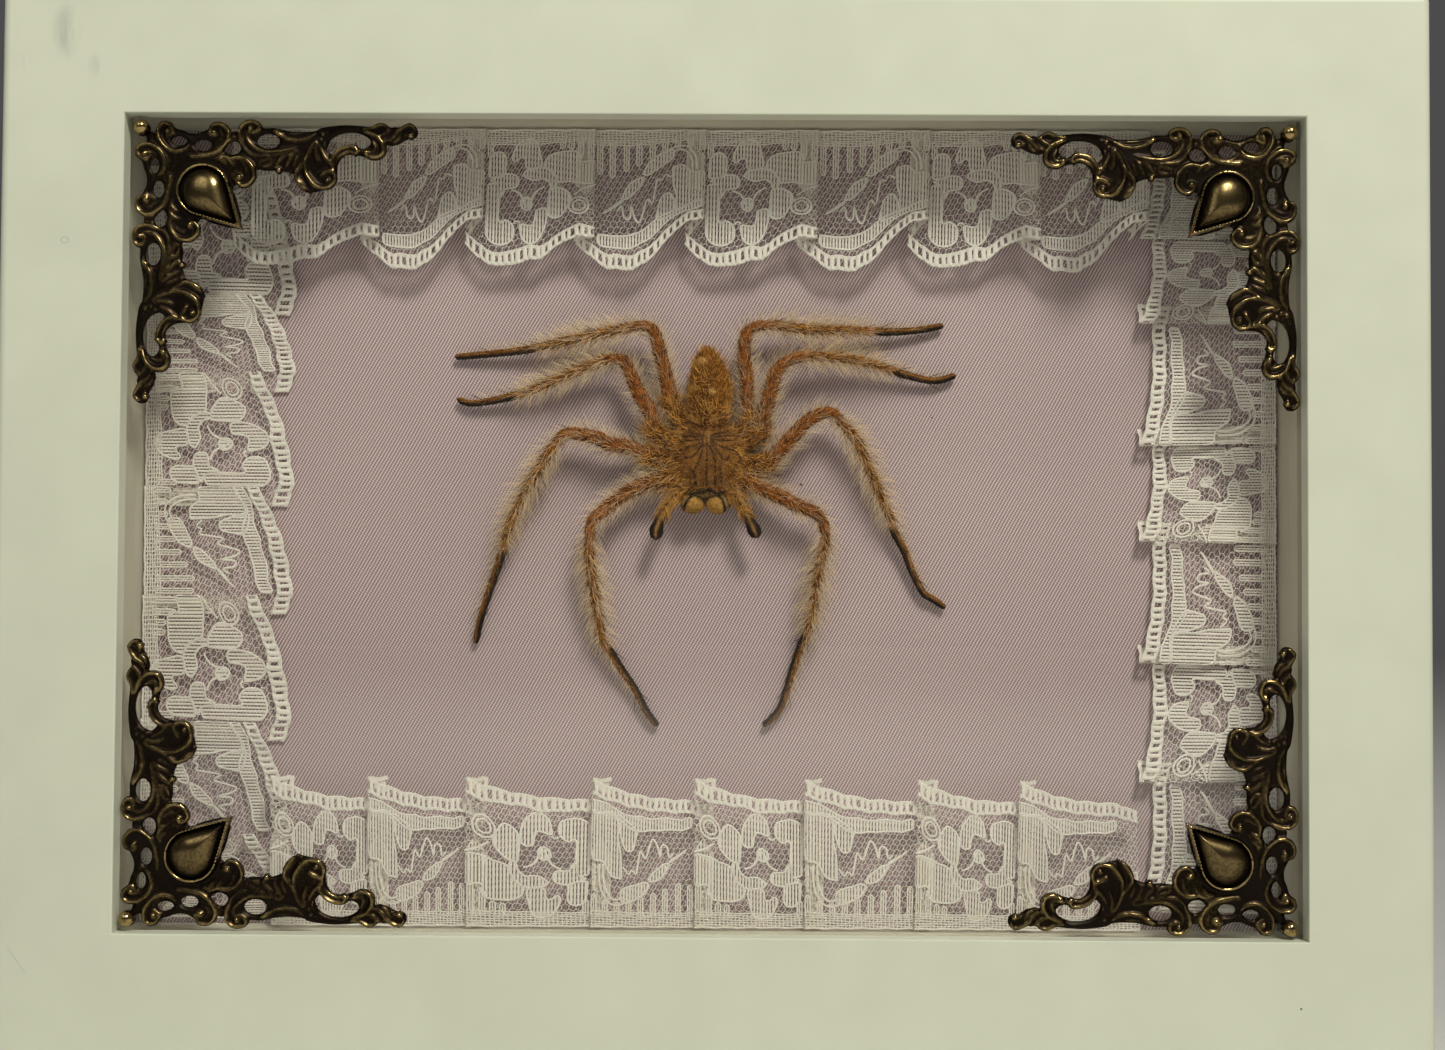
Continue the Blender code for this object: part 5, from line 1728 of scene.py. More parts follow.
def tube(centres, radii, flatness, sides):
    """Rings round a path in metres, with the angle of each point, and the path's direction."""
    ahead = np.gradient(centres, axis=0)
    ahead /= np.linalg.norm(ahead, axis=1)[:, None]
    outward = np.array([0.0, -1.0, 0.0])
    side = np.cross(ahead, outward)
    side /= np.linalg.norm(side, axis=1)[:, None]
    upward = np.cross(side, ahead)
    angles = np.linspace(0, 2 * math.pi, sides, endpoint=False)
    ring = side[:, None] * np.cos(angles)[:, None]
    ring = ring + upward[:, None] * np.sin(angles)[:, None] * flatness
    return centres[:, None] + ring * radii[:, None, None] * MM, angles, ahead


def tube_faces(rings, sides):
    """Faces of a tube whose two end points follow its rings."""
    side = np.arange(sides)
    after = (side + 1) % sides
    end = np.full(sides, rings * sides)
    last = (rings - 1) * sides
    fans = [(end, side, after), (end + 1, last + after, last + side)]
    fans = np.concatenate([np.stack(fan, axis=1) for fan in fans])
    return ring_quads(rings, sides)[:, ::-1], fans


# Colour, hair direction, cover of three kinds of hair, its length, and the look of the skin
SKIN_VALUES = ("tint", "comb", "fur", "fringe", "curl", "long", "darkness", "gloss")


class SkinParts:
    """Gathers the points, faces and stored values of a stretch of the spider's skin."""

    def __init__(self):
        self.points = []
        self.faces = ([], [])
        self.values = {name: [] for name in SKIN_VALUES}
        self.total = 0

    def join(self, other):
        """Take in all parts of another stretch of skin."""
        self.points += other.points
        for own, given in zip(self.faces, other.faces):
            own += [faces + self.total for faces in given]
        for name, given in other.values.items():
            self.values[name] += given
        self.total += other.total

    def add(self, rings, ends, sides, downward=False, **values):
        """Add one closed part; a value is one for all, or a tuple: its rings, then its ends."""
        points = np.concatenate([np.reshape(rings, (-1, 3)), ends])
        self.points.append(points)
        for own, faces in zip(self.faces, tube_faces(len(points) // sides, sides)):
            own.append(faces[:, ::-1 if downward else 1] + self.total)
        for name in SKIN_VALUES:
            width = 3 if name in ("tint", "comb") else 1
            given = values.get(name, 0.0)
            parts = given if isinstance(given, tuple) else (given,)
            given = np.concatenate([np.reshape(part, (-1, width)) for part in parts])
            self.values[name].append(np.broadcast_to(given, (len(points), width)))
        self.total += len(points)

    def mesh(self, name):
        """The gathered skin as one mesh."""
        groups = [np.concatenate(faces) for faces in self.faces]
        mesh = new_mesh(name, np.concatenate(self.points), groups)
        for key, given in self.values.items():
            joined = np.concatenate(given)
            if key == "tint":
                joined = np.insert(joined, 3, 1.0, axis=1)
            store_values(mesh, key, joined)
        return mesh


def leg_stations(name):
    """Even stations along a leg, their distances, and those of body, knee, shin and end pieces."""
    knee, ankle, _, points = LEGS[name]
    first = np.array(points[0])
    root = first + (*(BODY_CENTRE - first[:2]) * LEG_ROOT_SHARE, -LEG_ROOT_DROP)
    dense, shares = curve_through([root] + points, 900)
    travelled = distances_along(dense)
    line, along = respaced(dense, travelled, int(travelled[-1] / LEG_SPACING))
    body, knee_at, ankle_at = np.interp((1.0, knee + 1.0, ankle + 1.0), shares, travelled)
    toe_at = ankle_at + (travelled[-1] - ankle_at) * TARSUS_SHARE
    places = (body, knee_at, knee_at + PATELLA_LENGTH, ankle_at, toe_at, travelled[-1])
    return spider_points(*line.T), along, places


def add_leg(skin, name, draw):
    """One leg: hip, thigh, knee piece, shin, and the two dark end pieces."""
    side_sign = LEGS[name][2]
    centres, along, (body, knee_at, shin_at, ankle_at, toe_at, tip_at) = leg_stations(name)
    places = [
        0.0, body * 0.7, body + 0.6, body + 1.5, body + 2.2, body + 0.4 * (knee_at - body),
        knee_at - 1.0, knee_at - 0.1, knee_at + 0.6, knee_at + 1.6, shin_at - 0.1, shin_at + 0.9,
        shin_at + 0.45 * (ankle_at - shin_at), ankle_at - 1.6, ankle_at - 0.2, ankle_at + 0.5,
        (ankle_at + toe_at) / 2, toe_at - 0.2, toe_at + 0.5, tip_at - 1.2, tip_at - 0.3, tip_at,
    ]
    radii, fur, long_hair = (np.interp(along, places, row) for row in LEG_PROFILE)
    radii = radii * (1 + 0.035 * np.sin(along * 5.1 + draw.uniform(0, 6)))
    rings, angles, ahead = tube(centres, radii, LEG_FLATNESS, LEG_SIDES)
    rings = rings + draw.normal(0, 0.012, rings.shape) * MM
    place, around = np.meshgrid(along, angles, indexing="ij")

    thigh = eased(place, body + 0.5, body + 2.5) * (1 - eased(place, knee_at - 0.3, knee_at + 0.3))
    end_piece = eased(place, ankle_at - 0.2, ankle_at + 0.6)
    toe = eased(place, toe_at - 0.3, toe_at + 0.5)
    tint = mixed(BODY_GOLD, RUST, thigh)
    shin = mixed(RUST, GOLD, eased(place, knee_at, shin_at + 4))
    tint = mixed(tint, shin, eased(place, knee_at - 0.3, knee_at + 0.4))
    streaks_and_edge_shade = np.sin(around * 5 + 0.8 * np.sin(place * 1.3) + draw.uniform(0, 6))
    streaks_and_edge_shade = streaks_and_edge_shade * (0.5 + 0.5 * np.sin(place * 1.9 + around))
    # Besides the dark streaks, painted shade: the leg is darkened along its two edges as seen from
    # the front
    streaks_and_edge_shade = streaks_and_edge_shade + 0.5 * np.abs(np.cos(around)) ** 6
    streaks_and_edge_shade = eased(streaks_and_edge_shade + draw.normal(0, 0.2, around.shape), 0.0, 0.6)
    tint = mixed(tint, RUST_DARK, 0.9 * streaks_and_edge_shade * (1 - toe))
    joint = np.exp(-((place - ankle_at) / 0.45) ** 2)
    joint = joint + 0.6 * np.exp(-((place - shin_at) / 0.3) ** 2)
    tint = mixed(tint, PALE_JOINT, 0.6 * np.clip(joint, 0, 1))
    inner = math.pi - 0.15 if side_sign < 0 else 0.15
    dark_side = eased(np.cos(around - inner), 0.05, 0.5)
    black = end_piece * (0.1 + 0.9 * dark_side) * (1 - 0.5 * toe) + toe * (0.3 + 0.4 * dark_side)
    black = np.clip(black, 0, 1) * (1 - np.exp(-((place - ankle_at) / 0.5) ** 2))
    tint = mixed(tint, BLACK, black)
    covered = np.where(np.sin(around) < -0.45, 0.2, 1.0)
    root = 1 - eased(place, body + 0.2, body + 2.0)
    fringe = covered * (0.4 + 1.1 * np.abs(np.cos(around)) ** 1.5) * (1 - 0.7 * root)

    skin.add(
        rings, centres[[0, -1]], LEG_SIDES,
        tint=(tint, tint[0, 0], BLACK),
        fur=(fur[:, None] * covered, 0.0, 0.2),
        fringe=(fur[:, None] * fringe, 0.0, 0.2),
        curl=(covered * root, 0.0, 0.0),
        comb=(np.repeat(ahead, LEG_SIDES, axis=0), ahead[0], ahead[-1]),
        darkness=(np.clip(black - 0.25, 0, 1), 0.0, 1.0),
        long=(long_hair[:, None] * (1 - 0.55 * black), 0.5, 0.2),
    )


def add_palp(skin, name):
    """One palp with its dark knob and a pale stripe."""
    dense, _ = curve_through(PALPS[name], 200)
    travelled = distances_along(dense)
    line, along = respaced(dense, travelled, int(travelled[-1] / PALP_SPACING))
    share = along / along[-1]
    centres = spider_points(*line.T)
    radii = np.interp(share, *PALP_PROFILE)
    rings, angles, ahead = tube(centres, radii, PALP_FLATNESS, PALP_SIDES)
    place, around = np.meshgrid(share, angles, indexing="ij")
    knob = eased(place, 0.58, 0.72)
    stripe = eased(np.abs(around - math.pi / 2), 0.34, 0.14)
    tint = mixed(TAN, RUST_DARK, eased(np.sin(around * 4 + place * 7), 0.1, 0.7) * 0.85)
    black = knob * (1 - 0.85 * stripe) + 0.45 * eased(place, 0.4, 0.55) * (1 - stripe)
    black = np.clip(black, 0, 1)
    tint = mixed(tint, BLACK, black)
    skin.add(
        rings, centres[[0, -1]], PALP_SIDES,
        tint=(tint, TAN, BLACK), fur=(1.0 - 0.55 * knob, 0.0, 0.2),
        curl=(1.5 * (1 - knob), 0.0, 0.0),
        comb=(np.repeat(ahead, PALP_SIDES, axis=0), ahead[0], ahead[-1]),
        darkness=(np.clip(black - 0.1, 0, 1), 0.0, 1.0),
        long=(0.8 - 0.35 * knob, 0.5, 0.2),
    )


def body_lump(rows, count, sides):
    """A rounded body part through its rows: across, up, height, angles, and the even rows."""
    dense, _ = curve_through(rows, count * 4)
    rows, _ = respaced(dense, distances_along(dense[:, :2]), count)
    angles = np.linspace(0, 2 * math.pi, sides, endpoint=False)
    across = rows[:, 4, None] + rows[:, 1, None] * np.cos(angles)
    height = rows[:, 3, None] + rows[:, 2, None] * np.sin(angles)
    up = np.broadcast_to(rows[:, 0, None], across.shape)
    return across, up, height, np.broadcast_to(angles, across.shape), rows


def lump_ends(rows, above, below):
    """The two points that close a lump above its first row and below its last."""
    first, last = rows[[0, -1]]
    return spider_points(
        (first[4], last[4]), (first[0] + above, last[0] - below), (first[3], last[3]),
    )


def add_carapace(skin):
    """The carapace, with the pit, radiating grooves, eye region and pale patches."""
    across, up, height, angles, rows = body_lump(CARAPACE_ROWS, *CARAPACE_GRID)
    top = eased(np.sin(angles), 0.0, 0.35)
    groove = np.zeros(across.shape)
    for number, path in enumerate(CARAPACE_GROOVES):
        smooth = even_curve(path, 0.25)
        smooth[:, 1] += 0.07 * np.sin(np.arange(len(smooth)) * 2.3 + number)
        away = distance_to_path(across, up, smooth)
        groove = np.maximum(groove, np.clip(1.25 - away / 0.17, 0, 1))
    pit = oval_spot(across, up, PIT, (0.35, 0.7), 1)
    groove = groove * top
    lumps = 0.05 * np.sin(across * 3.1 + np.sin(up * 2.3)) * np.sin(up * 2.7)
    height = height + (lumps - 0.13 * groove - 0.4 * pit) * top
    hollow = np.exp(-((up - PIT[1]) / 1.6) ** 2) * np.exp(-((across - MIDLINE) / 2.6) ** 2)
    height = height - 0.3 * hollow * top
    shade = 0.5 + 0.5 * np.sin(across * 2.2 + 1.7 * np.sin(up * 1.3)) * np.sin(up * 1.9 + across)
    tint = mixed(CARAPACE_BROWN, CARAPACE_DARK, 0.8 * shade)
    tint = mixed(tint, GROOVE_BLACK, 0.95 * groove)
    for *place, half_x, half_z in CARAPACE_PATCHES:
        patch = oval_spot(across, up, place, (half_x, half_z), 1.3)
        tint = mixed(tint, CARAPACE_PALE, 0.7 * patch * top)
    band_line = 5.05 + 0.35 * np.cos((across - MIDLINE) * 1.7)
    band = np.exp(-((up - band_line) / 0.33) ** 2) * eased(np.abs(across - MIDLINE), 3.4, 2.8)
    tint = mixed(tint, BLACK, np.clip(1.3 * band, 0, 1))
    tint = mixed(tint, JAW_GREY, 0.8 * eased(up, 4.95, 4.7))
    side_cover = 1 - eased(np.sin(angles), 0.25, 0.8)
    fur = 1.2 + 0.5 * eased(up, 13.9, 15.2)
    outward = np.stack([
        np.cos(angles), np.full(across.shape, -0.2), 0.35 * np.sign(up - 12.0),
    ], axis=-1)
    skin.add(
        spider_points(across, up, height), lump_ends(rows, 0.05, 0.05), across.shape[1], True,
        tint=(tint, tint[0, 0], tint[-1, -1]), fur=(fur, 1.7, 1.2),
        curl=(0.9 * side_cover + 0.5 * eased(up, 13.9, 15.2), 1.4, 0.9),
        comb=(outward, outward[0, 0], outward[-1, -1]),
        long=(0.5 + 0.45 * side_cover, 0.95, 0.95),
    )


def add_abdomen(skin):
    """The pointed abdomen, with a darker midline and pale spots."""
    across, up, height, angles, rows = body_lump(ABDOMEN_ROWS, *ABDOMEN_GRID)
    lumps = 0.07 * np.sin(across * 4.1 + up * 1.2) * np.sin(up * 3.7) + 0.05 * np.sin(up * 6.1)
    height = height + lumps * eased(np.sin(angles), -0.2, 0.4)
    middle = np.exp(-((across + 1.1) / 0.8) ** 2) * eased(up, 25.5, 23.0)
    mottle = 0.5 + 0.5 * np.sin(across * 5.2 + 2.0 * np.sin(up * 2.9)) * np.sin(up * 4.4)
    tint = mixed(BODY_GOLD, BODY_DARK, np.clip(0.55 * mottle + 0.45 * middle, 0, 1))
    for *place, half_x, half_z in ABDOMEN_SPOTS:
        spot = oval_spot(across, up, place, (half_x, half_z), 1.5)
        tint = mixed(tint, BODY_PALE, 0.7 * spot * eased(np.sin(angles), 0.0, 0.3))
    comb = np.stack([
        0.5 * np.cos(angles), np.full(across.shape, -0.1), np.full(across.shape, 0.9),
    ], axis=-1)
    base = eased(up, 19.5, 16.5)
    skin.add(
        spider_points(across, up, height), lump_ends(rows, 0.08, 0), across.shape[1], True,
        tint=(tint, tint[0, 0], tint[-1, -1]), fur=1.0,
        curl=((0.75 + 0.4 * base) * (1 - 0.8 * eased(np.sin(angles), -0.2, -0.6)), 0.75, 1.15),
        comb=(comb, comb[0, 0], comb[-1, -1]), long=(0.65 + 0.25 * base, 0.65, 0.9),
    )


def add_ball(skin, centre, radii, rows, sides, paint, fur=0.0, gloss=0.0, long_hair=0.3):
    """A rounded lump in one colour, or coloured by a function of its points."""
    tilt = np.linspace(0, math.pi, rows + 2)[1:-1, None]
    angles = np.linspace(0, 2 * math.pi, sides, endpoint=False)
    up = centre[1] + radii[1] * np.cos(tilt) * np.ones(sides)
    across = centre[0] + radii[0] * np.sin(tilt) * np.cos(angles)
    height = centre[2] + radii[2] * np.sin(tilt) * np.sin(angles)
    ends_up = centre[1] + radii[1] * np.array([1, -1])
    if callable(paint):
        tint = (paint(across, up), paint(np.full(2, centre[0]), ends_up))
    else:
        tint = np.array(paint)
    skin.add(
        spider_points(across, up, height), spider_points(centre[0], ends_up, centre[2]), sides,
        True, tint=tint, fur=fur, curl=0.8 * fur, comb=np.array((0.0, -0.5, -0.85)),
        long=long_hair, gloss=gloss,
    )


def jaw_paint(bulb, stripe):
    """A function that paints a jaw: tan bulb, grey shoulder and a black stripe between."""

    def paint(across, up):
        """The colour at each point of the jaw."""
        away = np.hypot((across - bulb[0]) / 1.5, (up - bulb[1]) / 1.5)
        tint = mixed(JAW_TAN, JAW_GREY, eased(away, 0.9, 1.05))
        line = distance_to_path(across, up, even_curve(stripe, 0.1))
        tint = mixed(tint, BLACK, np.clip(1.9 - line / 0.15, 0, 1))
        return mixed(tint, FANG_BROWN, 0.6 * eased(up, 2.3, 1.9))

    return paint


def add_head(skin):
    """Two jaws with their dark stripes, the pale brow between them, and eight eyes."""
    for middle, bulb, stripe in JAWS:
        add_ball(
            skin, (middle, 3.5, 3.75), (1.9, 1.62, 1.75), 40, 64, jaw_paint(bulb, stripe),
            fur=0.3, long_hair=0.25,
        )
    for middle in CHEEKS:
        add_ball(
            skin, (middle, 4.7, 3.7), (0.85, 1.2, 1.2), 14, 18, BODY_GOLD, fur=1.3, long_hair=0.6,
        )
    add_ball(skin, (BROW, 4.75, 5.0), (0.95, 0.32, 0.55), 10, 16, JAW_GREY, fur=1.0)
    for x, z, radius in EYES:
        places, tops, edges = HEAD_PROFILE
        edge = np.interp(z, places, edges)
        drop = 1 - math.sqrt(max(0.0, 1 - min(1.0, abs(x - MIDLINE) / edge) ** 2))
        centre = (x, z, np.interp(z, places, tops) - 2.0 * drop)
        add_ball(skin, centre, (radius, radius, radius), 8, 12, BLACK, gloss=1.0)


def spider_regions(seed):
    """The skin of the body, the left legs and the right legs."""
    draw = np.random.default_rng(seed)
    regions = {"body": SkinParts(), "left": SkinParts(), "right": SkinParts()}
    add_carapace(regions["body"])
    add_abdomen(regions["body"])
    add_head(regions["body"])
    for name in LEGS:
        add_leg(regions[name.split("_")[-1]], name, draw)
    for name in PALPS:
        add_palp(regions["body"], name)
    return regions


def fur_tree():
    """Geometry tree that grows curved hairs on a skin, combed along a stored direction."""
    group, start, end = new_group(
        "Spider fur", "GeometryNodeTree",
        {"Geometry": None, "Density": 2.0e7, "Length": 0.0015, "Thickness": 0.00003, "Lean": 0.5,
         "Spread": 0.3, "Bend": 0.35, "Bends": 2, "Cover": "fur", "Seed": 1, "Material": None},
        {"Geometry": None},
    )
    if not start:
        return group

    def drawn(shift, low, high, kind="FLOAT"):
        """A random value or direction for each hair."""
        node = add_node(group, "FunctionNodeRandomValue", data_type=kind)
        first = 0 if kind == "FLOAT_VECTOR" else 2
        node.inputs[first].default_value = low
        node.inputs[first + 1].default_value = high
        wire(group, math_node(group, "ADD", start["Seed"], shift), node.inputs["Seed"])
        return node.outputs[first // 2]

    comb = named_value(group, "comb", "FLOAT_VECTOR")
    density = product(group, start["Density"], named_value(group, start["Cover"]))
    roots = add_node(group, "GeometryNodeDistributePointsOnFaces", {
        "Mesh": start["Geometry"], "Density": density, "Seed": start["Seed"],
    }, distribute_method="RANDOM").outputs
    points = with_value(group, roots["Points"], "root_normal", roots["Normal"], "FLOAT_VECTOR")
    points = with_value(group, points, "shade", drawn(3.0, 0.0, 1.0))
    jitter = drawn(0.0, (-1.0, -1.0, -1.0), (1.0, 1.0, 1.0), "FLOAT_VECTOR")
    jitter = vector_node(group, "SCALE", jitter, start["Spread"])
    outward = named_value(group, "root_normal", "FLOAT_VECTOR")
    upright = math_node(group, "SUBTRACT", 1.0, start["Lean"])
    upright = vector_node(group, "SCALE", outward, upright)
    combed = vector_node(group, "SCALE", comb, start["Lean"])
    heading = vector_node(group, "ADD", vector_node(group, "ADD", upright, combed), jitter)
    turned = add_node(group, "FunctionNodeAxesToRotation", {
        "Primary Axis": heading, "Secondary Axis": vector_node(group, "ADD", comb, jitter),
    }, primary_axis="Z", secondary_axis="X")
    size = product(group, drawn(7.0, 0.55, 1.15), start["Length"], named_value(group, "long"))

    middle = add_node(group, "ShaderNodeCombineXYZ", {"Z": 0.55}).outputs[0]
    tip = add_node(group, "ShaderNodeCombineXYZ", {"X": start["Bend"], "Z": 0.95}).outputs[0]
    hair = add_node(group, "GeometryNodeCurveQuadraticBezier", {
        "Resolution": start["Bends"], "Start": (0.0, 0.0, 0.0), "Middle": middle, "End": tip,
    }).outputs["Curve"]
    reach = add_node(group, "GeometryNodeSplineParameter").outputs["Factor"]
    share = math_node(group, "DIVIDE", start["Thickness"], start["Length"])
    strand = add_node(group, "GeometryNodeCurveToMesh", {
        "Curve": with_value(group, hair, "reach", reach),
        "Profile Curve": add_node(
            group, "GeometryNodeCurvePrimitiveCircle", {"Resolution": 3, "Radius": 1.0},
        ).outputs["Curve"],
        "Scale": product(group, ranged(group, reach, 0.0, 1.0, 1.0, 0.12), share),
        "Fill Caps": False,
    }).outputs["Mesh"]
    planted = add_node(group, "GeometryNodeInstanceOnPoints", {
        "Points": points, "Instance": strand, "Rotation": turned.outputs["Rotation"], "Scale": size,
    })
    close_tree(group, planted.outputs["Instances"], start["Material"], end)
    return group


def spine_mesh(seed):
    """Long dark spines that stand out from the legs, as tapered curved cones."""
    draw = np.random.default_rng(seed)
    rings = []
    for name in LEGS:
        centres, along, (body, knee_at, shin_at, ankle_at, toe_at, _) = leg_stations(name)
        places = []
        for start, end, count in ((body + 2, knee_at - 1, 3), (shin_at + 0.5, ankle_at - 1, 4),
                                  (ankle_at + 1, toe_at - 1, 2)):
            stations = np.linspace(start, end, count)
            places += [(place, side) for place in stations for side in (-1, 1)]
        for place, side in places:
            index = int(np.clip(np.searchsorted(along, place), 1, len(along) - 2))
            ahead = centres[index + 1] - centres[index - 1]
            ahead /= np.linalg.norm(ahead)
            outward = np.array([0.0, -1.0, 0.0])
            beside = np.cross(ahead, outward) * side
            raised = draw.uniform(-0.15, 0.75)
            heading = 0.95 * ahead + 0.6 * beside + raised * outward + draw.normal(0, 0.1, 3)
            heading /= np.linalg.norm(heading)
            start = centres[index] + 0.35 * MM * (beside + raised * outward)
            length = draw.uniform(1.5, 2.5) * MM
            steps = np.linspace(0, 1, len(SPINE_RADII))[:, None]
            path = start + heading * steps * length + ahead * 0.25 * length * steps ** 2
            ring, _, _ = tube(path, SPINE_RADII * draw.uniform(0.8, 1.2), 1.0, SPINE_SIDES)
            rings.append(ring.reshape(-1, 3))
    quads = ring_quads(len(SPINE_RADII), SPINE_SIDES)
    quads = np.concatenate([quads + len(ring) * number for number, ring in enumerate(rings)])
    return smoothed(new_mesh("leg_spines", np.concatenate(rings), [quads]))


def grown_hair(skin, name, values):
    """Hair grown on a stretch of skin, as a plain mesh."""
    mesh = realized_item(name, skin, fur_tree(), values)
    for attribute in ("fur", "fringe", "curl", "comb", "long", "gloss", "root_normal"):
        layer = mesh.attributes.get(attribute)
        if layer:
            mesh.attributes.remove(layer)
    return mesh


# Operators

class FRAMEDSPIDER_OT_stage(bpy.types.Operator):
    """Build the floor, light, surroundings and camera"""

    bl_idname = "framed_spider.stage"
    bl_label = "Stage"

    def execute(self, context):
        settings = context.scene.stage_settings
        set_surroundings(settings.fill_colour, settings.fill_strength)
        build_floor(studio_material("Pale paper", PAPER_COLOUR))
        build_light("lamp", LAMP_PLACE, settings.lamp_size, settings.lamp_power, LAMP_COLOUR)
        build_light("side_light", SIDE_PLACE, settings.side_size, settings.side_power, SIDE_COLOUR)
        build_camera()
        return {"FINISHED"}


class FRAMEDSPIDER_OT_frame(bpy.types.Operator):
    """Build the white box frame"""

    bl_idname = "framed_spider.frame"
    bl_label = "Box frame"

    def execute(self, context):
        settings = context.scene.frame_settings
        mesh = box_frame_mesh(settings.edge_steps)
        foil = white_foil_material(settings.foil_colour)
        place_piece("box_frame", mesh, foil, "frame")
        return {"FINISHED"}


class FRAMEDSPIDER_OT_layers(bpy.types.Operator):
    """Finish the pane, the liner, the boards and the metal parts at the back"""

    bl_idname = "framed_spider.layers"
    bl_label = "Pane and back"

    def execute(self, context):
        finish_nodes(pane_material(), "glass")
        liner = card_material("Liner card", (0.60, 0.57, 0.46), (0.50, 0.47, 0.37))
        finish_nodes(liner, "spacer")
        mount = card_material("Mount card", (0.42, 0.41, 0.38), (0.30, 0.29, 0.27))
        finish_nodes(mount, "mount_board")
        finish_nodes(fibreboard_material(), "backing_board")
        finish_nodes(zinc_material(), "hanger", *(f"tab_{number}" for number in range(1, 7)))
        return {"FINISHED"}


class FRAMEDSPIDER_OT_satin(bpy.types.Operator):
    """Build the satin that is stretched over its board"""

    bl_idname = "framed_spider.satin"
    bl_label = "Satin"

    def execute(self, context):
        settings = context.scene.frame_settings
        satin = satin_material(
            settings.satin_colour, settings.twill_pitch, settings.float_length,
            settings.twill_angle,
        )
        sheet = place_piece("satin_sheet", satin_mesh(), satin, "satin_cloth")
        return {"FINISHED"}


class FRAMEDSPIDER_OT_corners(bpy.types.Operator):
    """Build the four bronze filigree corners"""

    bl_idname = "framed_spider.corners"
    bl_label = "Filigree corners"

    def execute(self, context):
        settings = context.scene.filigree_settings
        bronze = bronze_material(settings.recess_colour, settings.rubbed_colour)
        casting = filigree_mesh(settings.relief_step)
        for name, (across, up, turn) in CORNER_PLACES.items():
            mesh = placed_copy(casting, name, across, up, ORNAMENT_REAR, turn)
            piece_name = name.replace("corner", "filigree")
            place_piece(piece_name, mesh, bronze, name)
        bpy.data.meshes.remove(casting)
        return {"FINISHED"}


class FRAMEDSPIDER_OT_lace(bpy.types.Operator):
    """Build the four pleated lace ruffles"""

    bl_idname = "framed_spider.lace"
    bl_label = "Lace ruffles"

    def execute(self, context):
        settings = context.scene.lace_settings
        thread = lace_material(settings.thread_colour)
        pleats = {
            flower: flat_pleat(flower, settings.seed + flower, thread) for flower in (False, True)
        }
        for name in LACE_STRIPS:
            mesh, folds = lace_strip_mesh(name, pleats)
            ruffle = place_piece(
                name.replace("lace", "ruffle"), mesh, thread, name,
            )
        return {"FINISHED"}


class FRAMEDSPIDER_OT_skin(bpy.types.Operator):
    """Build the spider's skin in one piece"""

    bl_idname = "framed_spider.skin"
    bl_label = "Spider"

    def execute(self, context):
        regions = spider_regions(context.scene.spider_settings.seed)
        whole = SkinParts()
        for region in regions.values():
            whole.join(region)
        mesh = smoothed(whole.mesh("spider_skin"))
        place_piece("spider_skin", mesh, cuticle_material(), "huntsman_spider")
        return {"FINISHED"}


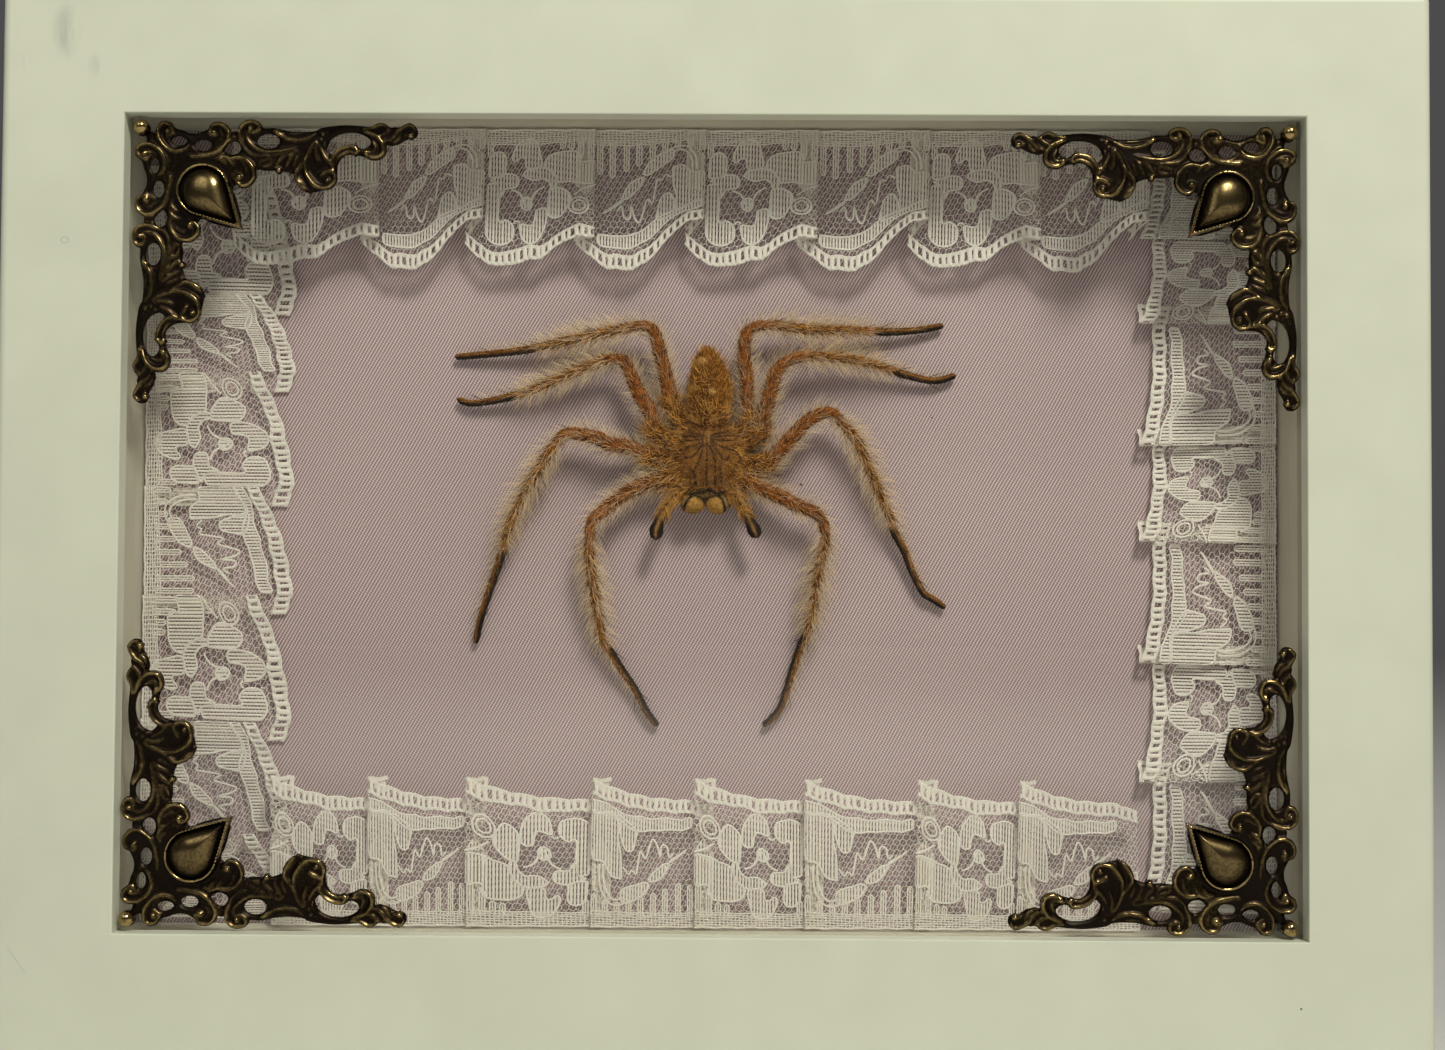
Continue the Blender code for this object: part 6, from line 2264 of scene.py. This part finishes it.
class FRAMEDSPIDER_OT_hair(bpy.types.Operator):
    """Grow the spider's hair and spines"""

    bl_idname = "framed_spider.hair"
    bl_label = "Spider hair"

    def execute(self, context):
        settings = context.scene.spider_settings
        tips = settings.hair_colour
        dark = settings.spine_colour
        pale = settings.fringe_colour
        short = bristle_material("Spider hair", tips, dark)
        fringe = bristle_material("Spider fringe", pale, dark, skin_share=0.1)
        regions = spider_regions(settings.seed)
        # Each kind of hair: its settings, cover, lean, spread, bend, bends and material
        layers = {
            "coat": ("coat", "fur", 0.55, 0.45, 0.3, 1, short),
            "bristles": ("bristle", "fringe", 0.22, 0.32, 0.45, 2, fringe),
            "curls": ("curl", "curl", 0.4, 0.8, 0.9, 3, short),
        }
        for number, (region, skin) in enumerate(regions.items()):
            for layer, (kind, cover, lean, spread, bend, bends, hair) in layers.items():
                if (layer, region) == ("bristles", "body"):
                    continue
                values = {
                    "Cover": cover, "Lean": lean, "Spread": spread, "Bend": bend, "Bends": bends,
                    "Seed": settings.seed + 5 * number + bends, "Material": hair,
                }
                for field in ("Density", "Length", "Thickness"):
                    values[field] = getattr(settings, f"{kind}_{field.lower()}")
                mesh = grown_hair(skin.mesh("bare_" + region), "bare_" + region, values)
                place_piece(f"{layer}_{region}", mesh, hair)
        spine = bristle_material("Spider spine", dark, dark, 0.35)
        place_piece("leg_spines", spine_mesh(settings.seed), spine)
        return {"FINISHED"}


class FRAMEDSPIDER_PT_panel(bpy.types.Panel):
    """All pieces of the framed spider, with their settings"""

    bl_idname = "FRAMEDSPIDER_PT_panel"
    bl_label = "Framed Spider"
    bl_space_type = "VIEW_3D"
    bl_region_type = "UI"
    bl_category = "Framed Spider"

    def draw(self, context):
        for operator in OPERATORS:
            self.layout.operator(operator.bl_idname)
        for name, group in SETTINGS.items():
            box = self.layout.box()
            settings = getattr(context.scene, name)
            for field in group.__annotations__:
                box.prop(settings, field)


OPERATORS = [
    FRAMEDSPIDER_OT_stage,
    FRAMEDSPIDER_OT_frame,
    FRAMEDSPIDER_OT_layers,
    FRAMEDSPIDER_OT_satin,
    FRAMEDSPIDER_OT_corners,
    FRAMEDSPIDER_OT_lace,
    FRAMEDSPIDER_OT_skin,
    FRAMEDSPIDER_OT_hair,
]


def register():
    """Add the settings, operators and panel."""
    for group in SETTINGS.values():
        bpy.utils.register_class(group)
    for item in OPERATORS + [FRAMEDSPIDER_PT_panel]:
        bpy.utils.register_class(item)
    for name, group in SETTINGS.items():
        setattr(bpy.types.Scene, name, PointerProperty(type=group))


def unregister():
    """Take the settings, operators and panel away again."""
    for name in SETTINGS:
        delattr(bpy.types.Scene, name)
    for item in [FRAMEDSPIDER_PT_panel] + OPERATORS[::-1]:
        bpy.utils.unregister_class(item)
    for group in SETTINGS.values():
        bpy.utils.unregister_class(group)


def main():
    """Build every piece in order."""
    register()
    bpy.ops.framed_spider.stage()
    bpy.ops.framed_spider.frame()
    bpy.ops.framed_spider.layers()
    bpy.ops.framed_spider.satin()
    bpy.ops.framed_spider.corners()
    bpy.ops.framed_spider.lace()
    bpy.ops.framed_spider.skin()
    bpy.ops.framed_spider.hair()


if __name__ == "__main__":
    main()
